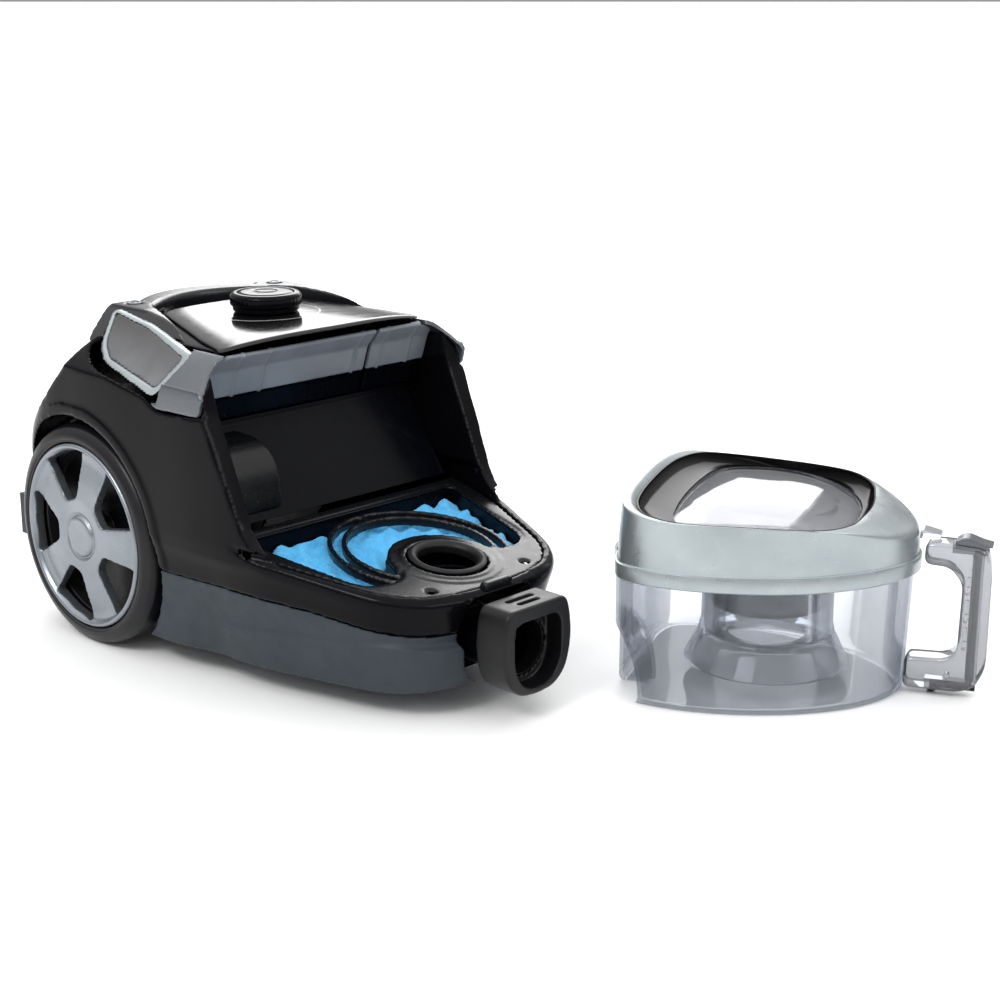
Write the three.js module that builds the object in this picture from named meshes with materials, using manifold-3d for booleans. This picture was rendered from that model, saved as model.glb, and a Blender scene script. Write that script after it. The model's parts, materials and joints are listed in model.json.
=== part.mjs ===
// Canister vacuum cleaner with its dust container lifted out and standing beside it.
// Millimetres, +Z up, front of the machine towards -Y, machine's left towards +X.
// Side outlines are given as [forward, up], plan outlines as [forward, half width].
import * as THREE from 'three';
import { mergeVertices } from 'three/addons/utils/BufferGeometryUtils.js';
import Module from 'manifold-3d';

const wasm = await Module();
wasm.setup();

// Driving dimensions
const GAP = 0.35; // clearance between neighbouring pieces
const WALL = 3; // moulded wall
const WHEEL_R = 92;
const RIM_R = 77;
const SPOKES = 5;
const WHEEL_IN = 108; // inner face of a wheel, from the middle plane
const AXLE_R = 5;
const ARCH_R = 100; // wheel arch
const BODY_FRONT = 354;
const TRAY_BOTTOM = 21;
const DECK_SLOPE = 0.154;
const PORT_V = 286; // suction port, forward of the axle
const PORT_Z = 105;
const DUCT_HALF = 19; // half width inside the square air duct
const BAY_X = 119; // half width of the container bay
const KNOB_V = 78;
const KNOB_R = 29;
const PANEL_T = 3;
const CASTER_V = 225;
const CASTER_R = 15;
const CASTER_TRAIL = 10; // from the swivel axis back to the roller
const CONNECTOR_FRONT = 382;
const BIN_X = 162; // container: middle of its rear foot, and its turn
const BIN_Y = -374;
const BIN_TURN = THREE.MathUtils.degToRad(26);
const BIN_RIM_Z = 100;
const CYCLONE_V = 78;

const deckZ = (v) => PORT_Z - DECK_SLOPE * (v - PORT_V);
const ROOF_Z = 266.5;
const SHOULDER_X = 103; // the roof is nearly flat as far as this, and then rounds down
const SIDE_X = 138;

function roofZ(x) {
  const flat = Math.min(1, Math.abs(x) / SHOULDER_X);
  return ROOF_Z - 8 * flat ** 2.6 - 0.062 * Math.max(0, Math.abs(x) - SHOULDER_X) ** 1.7;
}

const BODY_PLAN = [
  [-124, 0], [-121, 66], [-106, 108], [-62, 132], [0, SIDE_X], [100, SIDE_X], [160, 137],
  [205, 132], [262, 117], [315, 98], [340, 74], [351, 40], [BODY_FRONT, 0],
];
const SEAM = [[-140, 84], [180, 84], [250, 80], [300, 72], [335, 66], [400, 58]];
const REAR_SLOPE = [[4, 256], [-10, 234], [-42, 204], [-76, 175], [-103, 147], [-128, 108]];
const BAY = [
  [157, deckZ(157) + 1.5], [190, deckZ(190) + 0.1], [420, deckZ(420) + 0.1], [420, 300], [150, 300],
  [150, 262.5], [136, 246], [106, 238], [103, 206], [109.5, 198],
];
const EAR = [[-2, 273.5], [8, 247], [24, 237.5], [103, 223], [121, 254], [54, 267.5]];
const PANE = [[2, 271], [11, 249.5], [26, 240.5], [100, 228.5], [113, 251.5], [52, 264.5]];
const POD = [
  [-20, 250], [-14, 246], [-6, 246], [4, 249], [20, 236], [104, 221], [112, 221], [126, 255],
  [84, 268], [54, 273], [30, 275.5], [-16, 275.5], [-20, 271],
];
const KEY_X = 73;
const KEY_V = -1;
const BIN_PLAN = [
  [-27, 0], [-26, 74], [-16, 95], [20, 106], [70, 103], [120, 86], [160, 58], [183, 26], [189, 0],
];
const LID_PLAN = [
  [-28, 0], [-27, 78], [-16, 98], [22, 109], [72, 106], [124, 89], [166, 58], [189, 26], [195, 0],
];
const FILTER_OPENING = [
  [-110, -178], [-88, -276], [-80, -288], [-60, -292], [-48, -284], [-38, -258], [-20, -244],
  [0, -240], [20, -244], [38, -258], [48, -284], [60, -292], [80, -288], [88, -276], [110, -178],
];

// Solids

function solid(geometry) {
  const bare = geometry.clone();
  bare.deleteAttribute('normal');
  bare.deleteAttribute('uv');
  const merged = mergeVertices(bare, 1e-4);
  return new wasm.Manifold(new wasm.Mesh({
    numProp: 3,
    vertProperties: new Float32Array(merged.attributes.position.array),
    triVerts: new Uint32Array(merged.index.array),
  }));
}

function toGeometry(body) {
  const mesh = body.getMesh();
  const geometry = new THREE.BufferGeometry();
  geometry.setAttribute('position', new THREE.BufferAttribute(mesh.vertProperties, 3));
  geometry.setIndex(new THREE.BufferAttribute(mesh.triVerts, 1));
  return geometry;
}

const join = (first, ...rest) => rest.reduce((sum, next) => sum.add(next), first);
const cut = (first, ...rest) => rest.reduce((sum, next) => sum.subtract(next), first);
const meet = (first, ...rest) => rest.reduce((sum, next) => sum.intersect(next), first);

function warp(geometry, form) {
  const position = geometry.attributes.position;
  const point = new THREE.Vector3();
  for (let i = 0; i < position.count; i += 1) {
    point.fromBufferAttribute(position, i);
    form(point);
    position.setXYZ(i, point.x, point.y, point.z);
  }
  return geometry;
}

const shapeOf = (points) => new THREE.Shape(points.map(([a, b]) => new THREE.Vector2(a, b)));

function smoothLoop(points, count) {
  const corners = points.map(([a, b]) => new THREE.Vector3(a, b, 0));
  const curve = new THREE.CatmullRomCurve3(corners, true, 'centripetal');
  return curve.getSpacedPoints(count).slice(0, count).map((p) => [p.x, p.y]);
}

// Moves every point of a counter-clockwise loop outwards.
function offset(points, distance) {
  return points.map(([a, b], i) => {
    const before = points.at(i - 1);
    const after = points[(i + 1) % points.length];
    const along = new THREE.Vector2(after[0] - before[0], after[1] - before[1]).normalize();
    return [a + along.y * distance, b - along.x * distance];
  });
}

// Scales a loop about its middle.
function scaled(points, factor) {
  const middle = [0, 1].map((k) => points.reduce((sum, p) => sum + p[k], 0) / points.length);
  return points.map((p) => p.map((value, k) => middle[k] + (value - middle[k]) * factor));
}

// Plan outline from its left half, as [x, y] points running counter-clockwise.
function planLoop(half, count, grow = 0) {
  const left = half.map(([v, w]) => [w, -v]);
  const right = half.slice(1, -1).reverse().map(([v, w]) => [-w, -v]);
  return offset(smoothLoop([...left, ...right].reverse(), count), grow);
}

function extrude(points, depth, steps = 1) {
  return new THREE.ExtrudeGeometry(shapeOf(points), { depth, steps, bevelEnabled: false });
}

function upright(points, z0, z1, steps) {
  return extrude(points, z1 - z0, steps).translate(0, 0, z0);
}

// Side outline in [forward, up], from x0 to x1.
function across(points, x0, x1, steps) {
  return extrude(points, x1 - x0, steps)
    .applyMatrix4(new THREE.Matrix4().set(0, 0, -1, x1, -1, 0, 0, 0, 0, 1, 0, 0, 0, 0, 0, 1));
}

// Front outline in [x, up], from v0 to v1 forward.
function along(points, v0, v1, steps) {
  return extrude(points, v1 - v0, steps)
    .applyMatrix4(new THREE.Matrix4().set(1, 0, 0, 0, 0, 0, -1, -v0, 0, 1, 0, 0, 0, 0, 0, 1));
}

function block(x0, x1, v0, v1, z0, z1) {
  return new THREE.BoxGeometry(x1 - x0, v1 - v0, z1 - z0)
    .translate((x0 + x1) / 2, -(v0 + v1) / 2, (z0 + z1) / 2);
}

function rod(radius, from, to, segments = 24, endRadius = radius) {
  const start = new THREE.Vector3(from[0], -from[1], from[2]);
  const end = new THREE.Vector3(to[0], -to[1], to[2]);
  const axis = end.clone().sub(start);
  const turn = new THREE.Quaternion().setFromUnitVectors(
    new THREE.Vector3(0, 1, 0), axis.clone().normalize());
  return new THREE.CylinderGeometry(endRadius, radius, axis.length(), segments)
    .applyQuaternion(turn).translate(...start.add(end).multiplyScalar(0.5).toArray());
}

// Body of revolution from a [radius, height] profile, about a vertical axis.
function turned(profile, segments = 32) {
  return new THREE.LatheGeometry(profile.map(([r, h]) => new THREE.Vector2(r, h)), segments)
    .rotateX(Math.PI / 2);
}

const mirrorX = (body) => body.mirror([1, 0, 0]);

// Outer form of the body: it draws in below the deck, most of all towards the front.
function bodyForm(p) {
  const low = THREE.MathUtils.clamp((112 - p.z) / 92, 0, 1) ** 0.8;
  const inset = low * (14 + 13 * THREE.MathUtils.smoothstep(-p.y, 95, 175));
  p.x *= 1 - inset / SIDE_X;
  p.y *= 1 - (p.y < 0 ? 1 : 0.6) * low * 27 / BODY_FRONT;
}

function bodyPrism(grow, z0, z1) {
  return solid(warp(upright(planLoop(BODY_PLAN, 38, grow), z0, z1, 5), bodyForm));
}

function bothSides(body) {
  return join(body, mirrorX(body));
}

function wheelWells(extra) {
  return bothSides(solid(rod(ARCH_R + extra,
    [WHEEL_IN - 4 - extra, 0, WHEEL_R], [170, 0, WHEEL_R], 36)));
}

// Layer under the roof line, from the roof down, between two depths.
function roofLayer(top, bottom, v0, v1, reach = 160) {
  const line = [];
  for (let i = -10; i <= 10; i += 1) {
    const x = reach * i / 10;
    line.push([x, roofZ(THREE.MathUtils.clamp(x, -150, 150))]);
  }
  const lower = line.map(([x, z]) => [x, z - bottom]);
  const upper = line.map(([x, z]) => [x, z - top]).reverse();
  return solid(along([...lower, ...upper], v0, v1));
}

// Layer under the deck plane.
function deckLayer(top, bottom, v0, v1, reach = 150) {
  return solid(across([[v0, deckZ(v0) - bottom], [v1, deckZ(v1) - bottom], [v1, deckZ(v1) - top],
    [v0, deckZ(v0) - top]], -reach, reach));
}

// Rounded shoulder on the left: a shell between two depths below its outer face.
function shoulder(top, bottom) {
  const outer = [];
  for (let x = 100; x < SIDE_X; x += 6) outer.push([x, roofZ(x)]);
  outer.push([SIDE_X - 1.5, 232], [SIDE_X + 0.5, 218], [SIDE_X + 0.5, 196]);
  const face = (depth) => outer.map(([x, z], i) => {
    const bend = Math.min(1, i / 7);
    return [x - depth * bend, z - depth * (1 - bend * bend)];
  });
  return solid(along([...face(bottom), ...face(top).reverse()], -40, 215));
}

function connectorLoop(grow) {
  return offset([[-31, 91], [-36, 62], [-33, 38], [-18, 24], [0, 21], [18, 24], [33, 38], [36, 62],
    [31, 91]], grow);
}

const machine = new THREE.Group();

// Looks

const finish = {
  trayGrey: { color: 0x3e464d, roughness: 0.6, metalness: 0 },
  glossBlack: { color: 0x0b0b0d, roughness: 0.18, metalness: 0 },
  satinBlack: { color: 0x141518, roughness: 0.45, metalness: 0 },
  graphite: { color: 0x5c6166, roughness: 0.35, metalness: 0.6 },
  silver: { color: 0xb9bdc0, roughness: 0.32, metalness: 0.7 },
  smoke: { color: 0x8fa0ad, roughness: 0.1, metalness: 0, transparent: true, opacity: 0.4 },
  clear: { color: 0xdfe6ea, roughness: 0.05, metalness: 0, transparent: true, opacity: 0.25 },
  rubber: { color: 0x17181a, roughness: 0.8, metalness: 0 },
  foam: { color: 0x56b6e6, roughness: 0.95, metalness: 0 },
  steel: { color: 0xa7abad, roughness: 0.35, metalness: 1 },
  copper: { color: 0x9a6a3a, roughness: 0.5, metalness: 0.6 },
  filterWhite: { color: 0xe4e4de, roughness: 0.9, metalness: 0 },
  board: { color: 0x1f5a3a, roughness: 0.6, metalness: 0 },
};

function piece(group, name, shape, look) {
  const geometry = shape.isBufferGeometry ? shape : toGeometry(shape);
  const mesh = new THREE.Mesh(geometry, new THREE.MeshStandardMaterial(finish[look]));
  mesh.name = name;
  group.add(mesh);
}

// Layer under the sloping outer face of the shoulder pods.
function podLayer(top, bottom) {
  const face = (depth) => [[138, 217], [88, 277]].map(([x, z]) => [x - 0.77 * depth, z - 0.64 * depth]);
  return solid(along([...face(bottom), ...face(top).reverse()], -40, 215));
}

const sideSlab = (loop, factor = 1) => solid(across(scaled(loop, factor), 60, 160));

// Body

const connectorRoom = () => solid(along(connectorLoop(GAP), 290, 420));

function chassisTray() {
  const side = [...SEAM.slice().reverse(), [-140, 60], [-124, 40], [-100, TRAY_BOTTOM],
    [310, TRAY_BOTTOM], [400, TRAY_BOTTOM + 8]];
  const outer = cut(meet(bodyPrism(0, 10, 95), solid(across(side, -150, 150))), wheelWells(0));
  const inner = cut(bodyPrism(-WALL, TRAY_BOTTOM + WALL, 105), wheelWells(WALL));
  const dome = solid(rod(33, [0, CASTER_V, TRAY_BOTTOM + 1], [0, CASTER_V, 50]));
  const domeSpace = solid(rod(30, [0, CASTER_V, 0], [0, CASTER_V, 47]));
  const pivot = solid(rod(6, [0, CASTER_V, 0], [0, CASTER_V, 60], 16));
  return cut(join(cut(outer, inner), dome), domeSpace, pivot, connectorRoom());
}

function upperBody() {
  const side = [...SEAM.map(([v, z]) => [v, z + GAP]), [420, deckZ(420)], [214, deckZ(214)], [205, 128],
    [184, 181], [167, 219], [162, 236], [156, 262], [156, 290], [18, 290], [8, 262],
    ...REAR_SLOPE, [-140, 100]];
  const innerSide = [[-137, 40], [430, 40], [430, deckZ(430) - 4], [212, deckZ(212) - 4], [199, 128],
    [179, 181], [162, 219], [157, 236], [150, 262], [150, 290], [22, 290], [11, 258],
    ...REAR_SLOPE.map(([v, z]) => [v + 2, z - 4]), [-137, 100]];
  const outer = cut(
    meet(bodyPrism(0, 50, 290), solid(across(side, -150, 150)), roofLayer(0, 240, -200, 430)),
    wheelWells(0));
  const bayKeep = solid(across(offset(BAY, WALL), -BAY_X - WALL, BAY_X + WALL));
  const shaftHole = solid(rod(8, [0, KNOB_V, 200], [0, KNOB_V, 300], 16));
  const inner = cut(
    meet(bodyPrism(-WALL, 40, 290), solid(across(innerSide, -150, 150)), roofLayer(WALL, 250, -200, 430)),
    wheelWells(WALL), bayKeep);
  const shoulderRoom = meet(shoulder(-20, 4 + GAP), solid(across(
    [[98, 222], [112, 215], [166, 217], [220, 240], [220, 300], [98, 300]], 90, 150)));
  const deckRoom = meet(bodyPrism(-12, 60, 140), solid(block(-150, 150, 150, 400, 60, 140)));
  const windowRoom = meet(podLayer(-60, 3.5 + GAP), sideSlab(EAR, 1.03));
  const cordHole = solid(rod(9, [72, -150, 112], [72, -90, 112], 16));
  const axleHole = solid(rod(AXLE_R + GAP, [-150, 0, WHEEL_R], [150, 0, WHEEL_R], 16));
  const slots = [];
  for (let i = 0; i < 5; i += 1) slots.push(solid(block(-45, 45, -150, -100, 96 + 8 * i, 100 + 8 * i)));
  return cut(outer, inner, solid(across(BAY, -BAY_X, BAY_X)), deckRoom, connectorRoom(),
    bothSides(shoulderRoom), bothSides(windowRoom), shaftHole, cordHole,
    axleHole, ...slots);
}

function deckPlate() {
  const plate = meet(bodyPrism(-12 - GAP, 60, 140), deckLayer(1, 4, 166, 400));
  const opening = solid(upright(FILTER_OPENING, 50, 150));
  const rib = (radius) => solid(rod(radius, [0, 257, 60], [0, 257, 140], 32));
  const ribs = meet(
    join(cut(rib(72), rib(68)), cut(rib(61), rib(57)),
      ...[-38, 90, 218].map((turn) => meet(cut(rib(70), rib(59)), solid(
        new THREE.BoxGeometry(90, 5, 100).translate(45, 0, 100)
          .rotateZ(THREE.MathUtils.degToRad(turn)).translate(0, -257, 0))))),
    join(deckLayer(2, 3.9, 160, 297),
      meet(deckLayer(2, 9, 160, 297), solid(upright(offset(FILTER_OPENING, -0.5), 50, 150)))));
  const holes = [50, -50].map((x) => solid(rod(3, [x, 320, 80], [x, 320, 130], 12)));
  const port = solid(rod(31 + GAP, [0, PORT_V, 80], [0, PORT_V, 130]));
  return cut(join(cut(plate, opening), ribs), port, connectorRoom(), ...holes);
}

function filterTray() {
  const outer = meet(solid(upright(offset(FILTER_OPENING, 2), 30, 150)), deckLayer(4 + GAP, 40, 160, 320));
  const inner = meet(solid(upright(FILTER_OPENING, 30, 150)), deckLayer(0, 37.5, 160, 320));
  return cut(outer, inner, solid(rod(20, [0, 205, 20], [0, 205, 90])));
}

function foamFilter() {
  return meet(solid(upright(offset(FILTER_OPENING, -1.5), 30, 150)), deckLayer(13, 36, 165, 320));
}

function inletGasket() {
  const ring = turned([[23, -5], [26, -5], [26, -1], [30.5, 1.5], [30.5, 3], [27, 4.5], [23, 1],
    [23, -5]], 20);
  return solid(ring.rotateX(Math.atan(DECK_SLOPE)).translate(0, -PORT_V, PORT_Z - 1));
}

function inletDuct() {
  const run = (half, end, top) => join(
    solid(block(-half, half, PORT_V - half, end, 55 - half, 55 + half)),
    solid(block(-half, half, PORT_V - half, PORT_V + half, 55 - half, top)));
  return cut(run(DUCT_HALF + 2.5, 352, 93), run(DUCT_HALF, 360, 100));
}

function hoseConnector() {
  const shell = solid(along(connectorLoop(0), 352 + GAP, CONNECTOR_FRONT));
  const mouth = solid(along([[-20, 80], [-25, 74], [-25, 48], [-18, 32], [-8, 27], [8, 27], [18, 32],
    [25, 48], [25, 74], [20, 80]], 366, 400));
  const bore = solid(rod(21, [0, 340, 55], [0, 400, 55]));
  const slots = [[360, 364], [369, 372]].map(([a, b]) => solid(block(-14, 14, a, b, 88, 100)));
  return cut(shell, mouth, bore, ...slots);
}

function compartmentWall() {
  return solid(across([[160.5, deckZ(161) + 1.5], [164, deckZ(164) + 1.5], [113.5, 198], [110, 198]],
    -BAY_X + GAP, BAY_X - GAP));
}

function stepLedge() {
  const steps = solid(across([[104, 207], [110.5, 199], [118, 199], [124, 218], [136, 221], [144, 243],
    [155.5, 256], [152.5, 258], [141, 246], [133, 224], [120.5, 221], [115, 203], [111, 203], [107.5, 207]],
    -BAY_X + GAP, BAY_X - GAP));
  return cut(steps, bothSides(shoulder(-20, 4 + GAP)));
}

function topPanel() {
  const plan = [[-103, -150], [-60, -161], [0, -168], [60, -161], [103, -150], [99, -138], [92, -112],
    [57, -17], [46, -12], [-46, -12], [-57, -17], [-92, -112], [-99, -138]];
  return cut(meet(solid(upright(plan, 200, 300)), roofLayer(-PANEL_T - GAP, -GAP, 0, 180)),
    solid(rod(8, [0, KNOB_V, 200], [0, KNOB_V, 300], 16)));
}

const windowRim = () => meet(podLayer(-1, 3.5), cut(sideSlab(EAR), sideSlab(PANE)));
const sideWindow = () => meet(podLayer(0, 3.5), sideSlab(PANE, 0.985));

function sideTrim() {
  const zone = [[99, 224], [112, 216.5], [165, 218], [169, 232], [158, 250], [152, 275], [99, 275]];
  return cut(meet(shoulder(0, 4), solid(across(zone, 103.5, 150))), sideSlab(POD, 1.02));
}

// Bar bowed towards the rear, running into a pod with a key at each end.
function carryHandle() {
  const bar = warp(across([[-38, 246], [-24, 246], [-18, 250], [-16, 272], [-19, 275], [-39, 275], [-42, 271],
    [-42, 250]], -68, 68, 14), (p) => { p.y -= 52 * (p.x / 84) ** 2; });
  const plan = [[62, 20], [112, 20], [112, -128], [104.5, -128], [101, -112], [71, -22], [62, -8]];
  const pod = cut(meet(sideSlab(POD), solid(upright(plan, 200, 300))), podLayer(-60, 3.5 + GAP));
  const pocket = solid(rod(6.5, [KEY_X, KEY_V, 266], [KEY_X, KEY_V, 300], 20));
  return cut(join(solid(bar), bothSides(pod)), roofLayer(-GAP, 200, -4, 215), bothSides(pocket));
}

piece(machine, 'chassis_tray', chassisTray(), 'trayGrey');
piece(machine, 'upper_body', upperBody(), 'glossBlack');
piece(machine, 'deck_plate', deckPlate(), 'satinBlack');
piece(machine, 'filter_tray', filterTray(), 'satinBlack');
piece(machine, 'foam_filter', foamFilter(), 'foam');
piece(machine, 'inlet_gasket', inletGasket(), 'rubber');
piece(machine, 'inlet_duct', inletDuct(), 'satinBlack');
piece(machine, 'hose_connector', hoseConnector(), 'satinBlack');
piece(machine, 'compartment_wall', compartmentWall(), 'satinBlack');
piece(machine, 'step_ledge', stepLedge(), 'graphite');
piece(machine, 'top_panel', topPanel(), 'glossBlack');
piece(machine, 'carry_handle', carryHandle(), 'satinBlack');
for (const [side, place] of [['left', (body) => body], ['right', mirrorX]]) {
  piece(machine, `side_trim_${side}`, place(sideTrim()), 'graphite');
  piece(machine, `side_window_rim_${side}`, place(windowRim()), 'silver');
  piece(machine, `side_window_${side}`, place(sideWindow()), 'glossBlack');
}

// Wheels: built at the origin about a vertical axis, then laid over towards the left.

const onAxle = (geometry) => geometry.rotateY(Math.PI / 2).translate(0, 0, WHEEL_R);

function tyre() {
  return solid(onAxle(turned([[RIM_R + 0.4, 109], [84, WHEEL_IN], [90, 112], [WHEEL_R, 118], [WHEEL_R, 127],
    [89, 134], [82, 137.5], [RIM_R + 0.4, 136.5], [RIM_R + 0.4, 109]], 32)));
}

function wheelDisc() {
  return solid(onAxle(turned([[AXLE_R + 0.1, 110], [RIM_R, 110], [RIM_R, 124], [70, 124], [68, 114],
    [16, 114], [13, 126], [AXLE_R + 0.1, 126], [AXLE_R + 0.1, 110]], 24)));
}

function hubcap() {
  const profile = [[0, 131.5], [20, 131.5], [60, 127], [RIM_R - 0.3, 126], [RIM_R - 0.3, 137],
    [74, 138.5], [66, 134], [30, 139], [15, 139.5], [13, 138.6], [11, 140], [0, 140]];
  const disc = solid(onAxle(turned(profile, 30)));
  const windows = [];
  for (let i = 0; i < SPOKES; i += 1) {
    const gap = extrude([[31, -9], [67, -25], [67, 25], [31, 9]], 30).translate(0, 0, 118);
    windows.push(solid(onAxle(gap.rotateZ(0.3 + i * 2 * Math.PI / SPOKES))));
  }
  return cut(disc, ...windows);
}

const axleStub = () => solid(rod(AXLE_R, [96, 0, WHEEL_R], [130.5, 0, WHEEL_R], 16));

for (const [side, place] of [['left', (body) => body], ['right', mirrorX]]) {
  piece(machine, `axle_${side}`, place(axleStub()), 'steel');
  piece(machine, `tyre_${side}`, place(tyre()), 'rubber');
  piece(machine, `wheel_disc_${side}`, place(wheelDisc()), 'satinBlack');
  piece(machine, `hubcap_${side}`, place(hubcap()), 'silver');
}

// Front caster

function casterFork() {
  const disc = solid(rod(24, [0, CASTER_V, 36], [0, CASTER_V, 43]));
  const spindle = solid(rod(5.6, [0, CASTER_V, 40], [0, CASTER_V, 56], 16));
  const cheek = (x) => solid(across([[CASTER_V - 18, 10], [CASTER_V - 8, 6], [CASTER_V - 2, 12],
    [CASTER_V + 8, 38], [CASTER_V - 16, 38]], x, x + 3));
  const pinHole = solid(rod(2.6, [-30, CASTER_V - CASTER_TRAIL, CASTER_R],
    [30, CASTER_V - CASTER_TRAIL, CASTER_R], 12));
  return cut(join(disc, spindle, cheek(-13), cheek(10)), pinHole);
}

const casterPin = () => rod(2.5, [-13, CASTER_V - CASTER_TRAIL, CASTER_R],
  [13, CASTER_V - CASTER_TRAIL, CASTER_R], 12);

function casterWheel() {
  const profile = [[2.6, -9], [13, -9], [CASTER_R, -6], [CASTER_R, 6], [13, 9], [2.6, 9], [2.6, -9]];
  return solid(turned(profile, 24).rotateY(Math.PI / 2).translate(0, CASTER_TRAIL - CASTER_V, CASTER_R));
}

piece(machine, 'caster_fork', casterFork(), 'satinBlack');
piece(machine, 'caster_pin', casterPin(), 'steel');
piece(machine, 'caster_wheel', casterWheel(), 'rubber');

// Controls

const PANEL_TOP = ROOF_Z + PANEL_T + GAP;

function knob() {
  const skirt = solid(turned([[0, 0.5], [27, 0.5], [27, 5], [KNOB_R, 6], [KNOB_R, 13], [27, 15.5], [23, 15.8],
    [23, 14], [0, 14]], 28).translate(0, -KNOB_V, PANEL_TOP));
  return join(skirt, solid(rod(5, [0, KNOB_V, 252], [0, KNOB_V, PANEL_TOP + 2], 16)));
}

const knobCap = () => turned([[0, 14.3], [22.6, 14.3], [22.6, 15.6], [16, 16.6], [0, 17]], 24)
  .translate(0, -KNOB_V, PANEL_TOP - 0.2);
const handleButton = (x) => rod(5.8, [x, KEY_V, 269], [x, KEY_V, 276.4], 20);

piece(machine, 'suction_knob', knob(), 'glossBlack');
piece(machine, 'suction_knob_cap', knobCap(), 'glossBlack');
piece(machine, 'power_button', handleButton(-KEY_X), 'graphite');
piece(machine, 'cord_rewind_button', handleButton(KEY_X), 'graphite');
piece(machine, 'control_board', block(-45, 45, 62, 118, 246, 248), 'board');

// Motor, cord reel and exhaust

const MOTOR_X = -50;
const MOTOR_V = 30;
const MOTOR_Z = 118;
const REEL_X = 50;
const REEL_V = -12;
const REEL_Z = 118;

const aboutMotor = (profile, segments) => solid(
  turned(profile, segments).rotateX(Math.PI / 2).translate(MOTOR_X, -MOTOR_V, MOTOR_Z));

function motorHousing() {
  const can = aboutMotor([[44, -50], [44, 30], [40, 36], [20, 36], [20, 33], [38, 33], [41, 29],
    [41, -50], [44, -50]], 24);
  const feet = solid(block(MOTOR_X - 30, MOTOR_X + 30, -10, 50, 25, 80));
  return join(can, cut(feet, solid(rod(43, [MOTOR_X, -60, MOTOR_Z], [MOTOR_X, 90, MOTOR_Z], 32))));
}

piece(machine, 'motor_housing', motorHousing(), 'satinBlack');
piece(machine, 'motor_seal',
  aboutMotor([[20, 36.4], [33, 36.4], [33, 41], [20, 41], [20, 36.4]], 20), 'rubber');
piece(machine, 'motor_stator',
  aboutMotor([[22, -45], [36, -45], [36, 2], [22, 2], [22, -45]], 20), 'copper');
piece(machine, 'motor_fan',
  aboutMotor([[0, -48], [20, -48], [20, 5], [5, 8], [5, 12], [36, 12], [36, 26], [12, 28], [5, 32],
    [0, 32]], 20), 'steel');

function reelFrame() {
  const plate = (x) => solid(block(x, x + 3, REEL_V - 30, REEL_V + 30, 25, 130));
  const base = solid(block(REEL_X - 41, REEL_X + 41, REEL_V - 30, REEL_V + 30, 24.4, 27));
  return join(plate(REEL_X - 41), plate(REEL_X + 38), base,
    solid(rod(6, [REEL_X - 40, REEL_V, REEL_Z], [REEL_X + 40, REEL_V, REEL_Z], 16)));
}

function cordReel() {
  const spool = turned([[6.2, -34], [68, -34], [68, -31], [32, -31], [32, 31], [68, 31], [68, 34],
    [6.2, 34], [6.2, -34]], 24);
  return solid(spool.rotateY(Math.PI / 2).translate(REEL_X, -REEL_V, REEL_Z));
}

piece(machine, 'reel_frame', reelFrame(), 'satinBlack');
piece(machine, 'cord_reel', cordReel(), 'satinBlack');
piece(machine, 'exhaust_filter', meet(solid(block(-50, 50, -110, -102, 88, 120)), bodyPrism(-6, 50, 150)),
  'filterWhite');

function cordOutlet() {
  return cut(solid(rod(13, [72, -126, 112], [72, -119.5, 112])), bodyPrism(GAP, 50, 150),
    solid(rod(6, [72, -150, 112], [72, -90, 112], 16)));
}

function parkingBracket() {
  const plate = cut(solid(block(-108, -86, -138, -90, 60, 96)), bodyPrism(GAP, 20, 150));
  return cut(plate, solid(block(-102, -92, -139, -126, 50, 92)));
}

// Cover over the air duct in the rear right corner of the bay, in front of its sloping wall.
function bayDuctCover() {
  const foot = deckZ(170) + 5;
  const cover = solid(along([[-118, foot], [-57, foot], [-57, 172], [-61, 184], [-70, 190], [-118, 190]],
    116, 160));
  return cut(cover, solid(across([[100, 100], [170.2, 117.4], [111.1, 202.5], [100, 202.5]], -130, 0)));
}

piece(machine, 'cord_outlet', cordOutlet(), 'satinBlack');
piece(machine, 'parking_bracket', parkingBracket(), 'trayGrey');
piece(machine, 'bay_duct_cover', bayDuctCover(), 'satinBlack');

// Dust container, in its own frame: rear foot at the origin, its handle forward

const container = new THREE.Group();
container.position.set(BIN_X, BIN_Y, 0);
container.rotation.z = BIN_TURN;

// The bin tapers towards the floor, and its rear right corner is cut away below the rim.
function binForm(p) {
  const low = 1 - p.z / BIN_RIM_Z;
  p.x *= 1 - 0.05 * low;
  if (p.y < 0) p.y *= 1 - 0.02 * low;
}

const binPrism = (grow, z0, z1) => solid(warp(upright(planLoop(BIN_PLAN, 32, grow), z0, z1, 2), binForm));

function cornerPocket(grow) {
  const curve = [[-60, -2], [-1 + grow, -2], [-2 + grow, 20], [-8 + grow, 42 + grow], [-20, 60 + grow],
    [-60, 68 + grow]];
  return solid(across(curve, -140, -50 + grow));
}

function bin() {
  const shell = cut(binPrism(0, 0, BIN_RIM_Z - 2), cornerPocket(0),
    cut(binPrism(-2.5, 2.5, BIN_RIM_Z + 5), cornerPocket(2.5)));
  const knuckle = solid(across([[-36, 88], [-24, 80], [-24, 97], [-29, 108], [-36, 108]], 30, 40));
  const pinHole = solid(rod(2.4, [-60, -32, 104], [60, -32, 104], 12));
  return cut(join(shell, bothSides(cut(knuckle, binPrism(-1, 60, 120)))), pinHole);
}

const LID_SIDE = [[-40, 99], [210, 99], [210, 122], [195, 131], [150, 144.5], [110, 151], [60, 155],
  [-15, 157], [-40, 157]];
// Side outline of the room inside the lid: its top line lowered, and open below.
const lidRoom = (drop) => solid(across(
  LID_SIDE.map(([v, z]) => [v, z > 120 ? z - drop : z - 20]), -150, 150));

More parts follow.
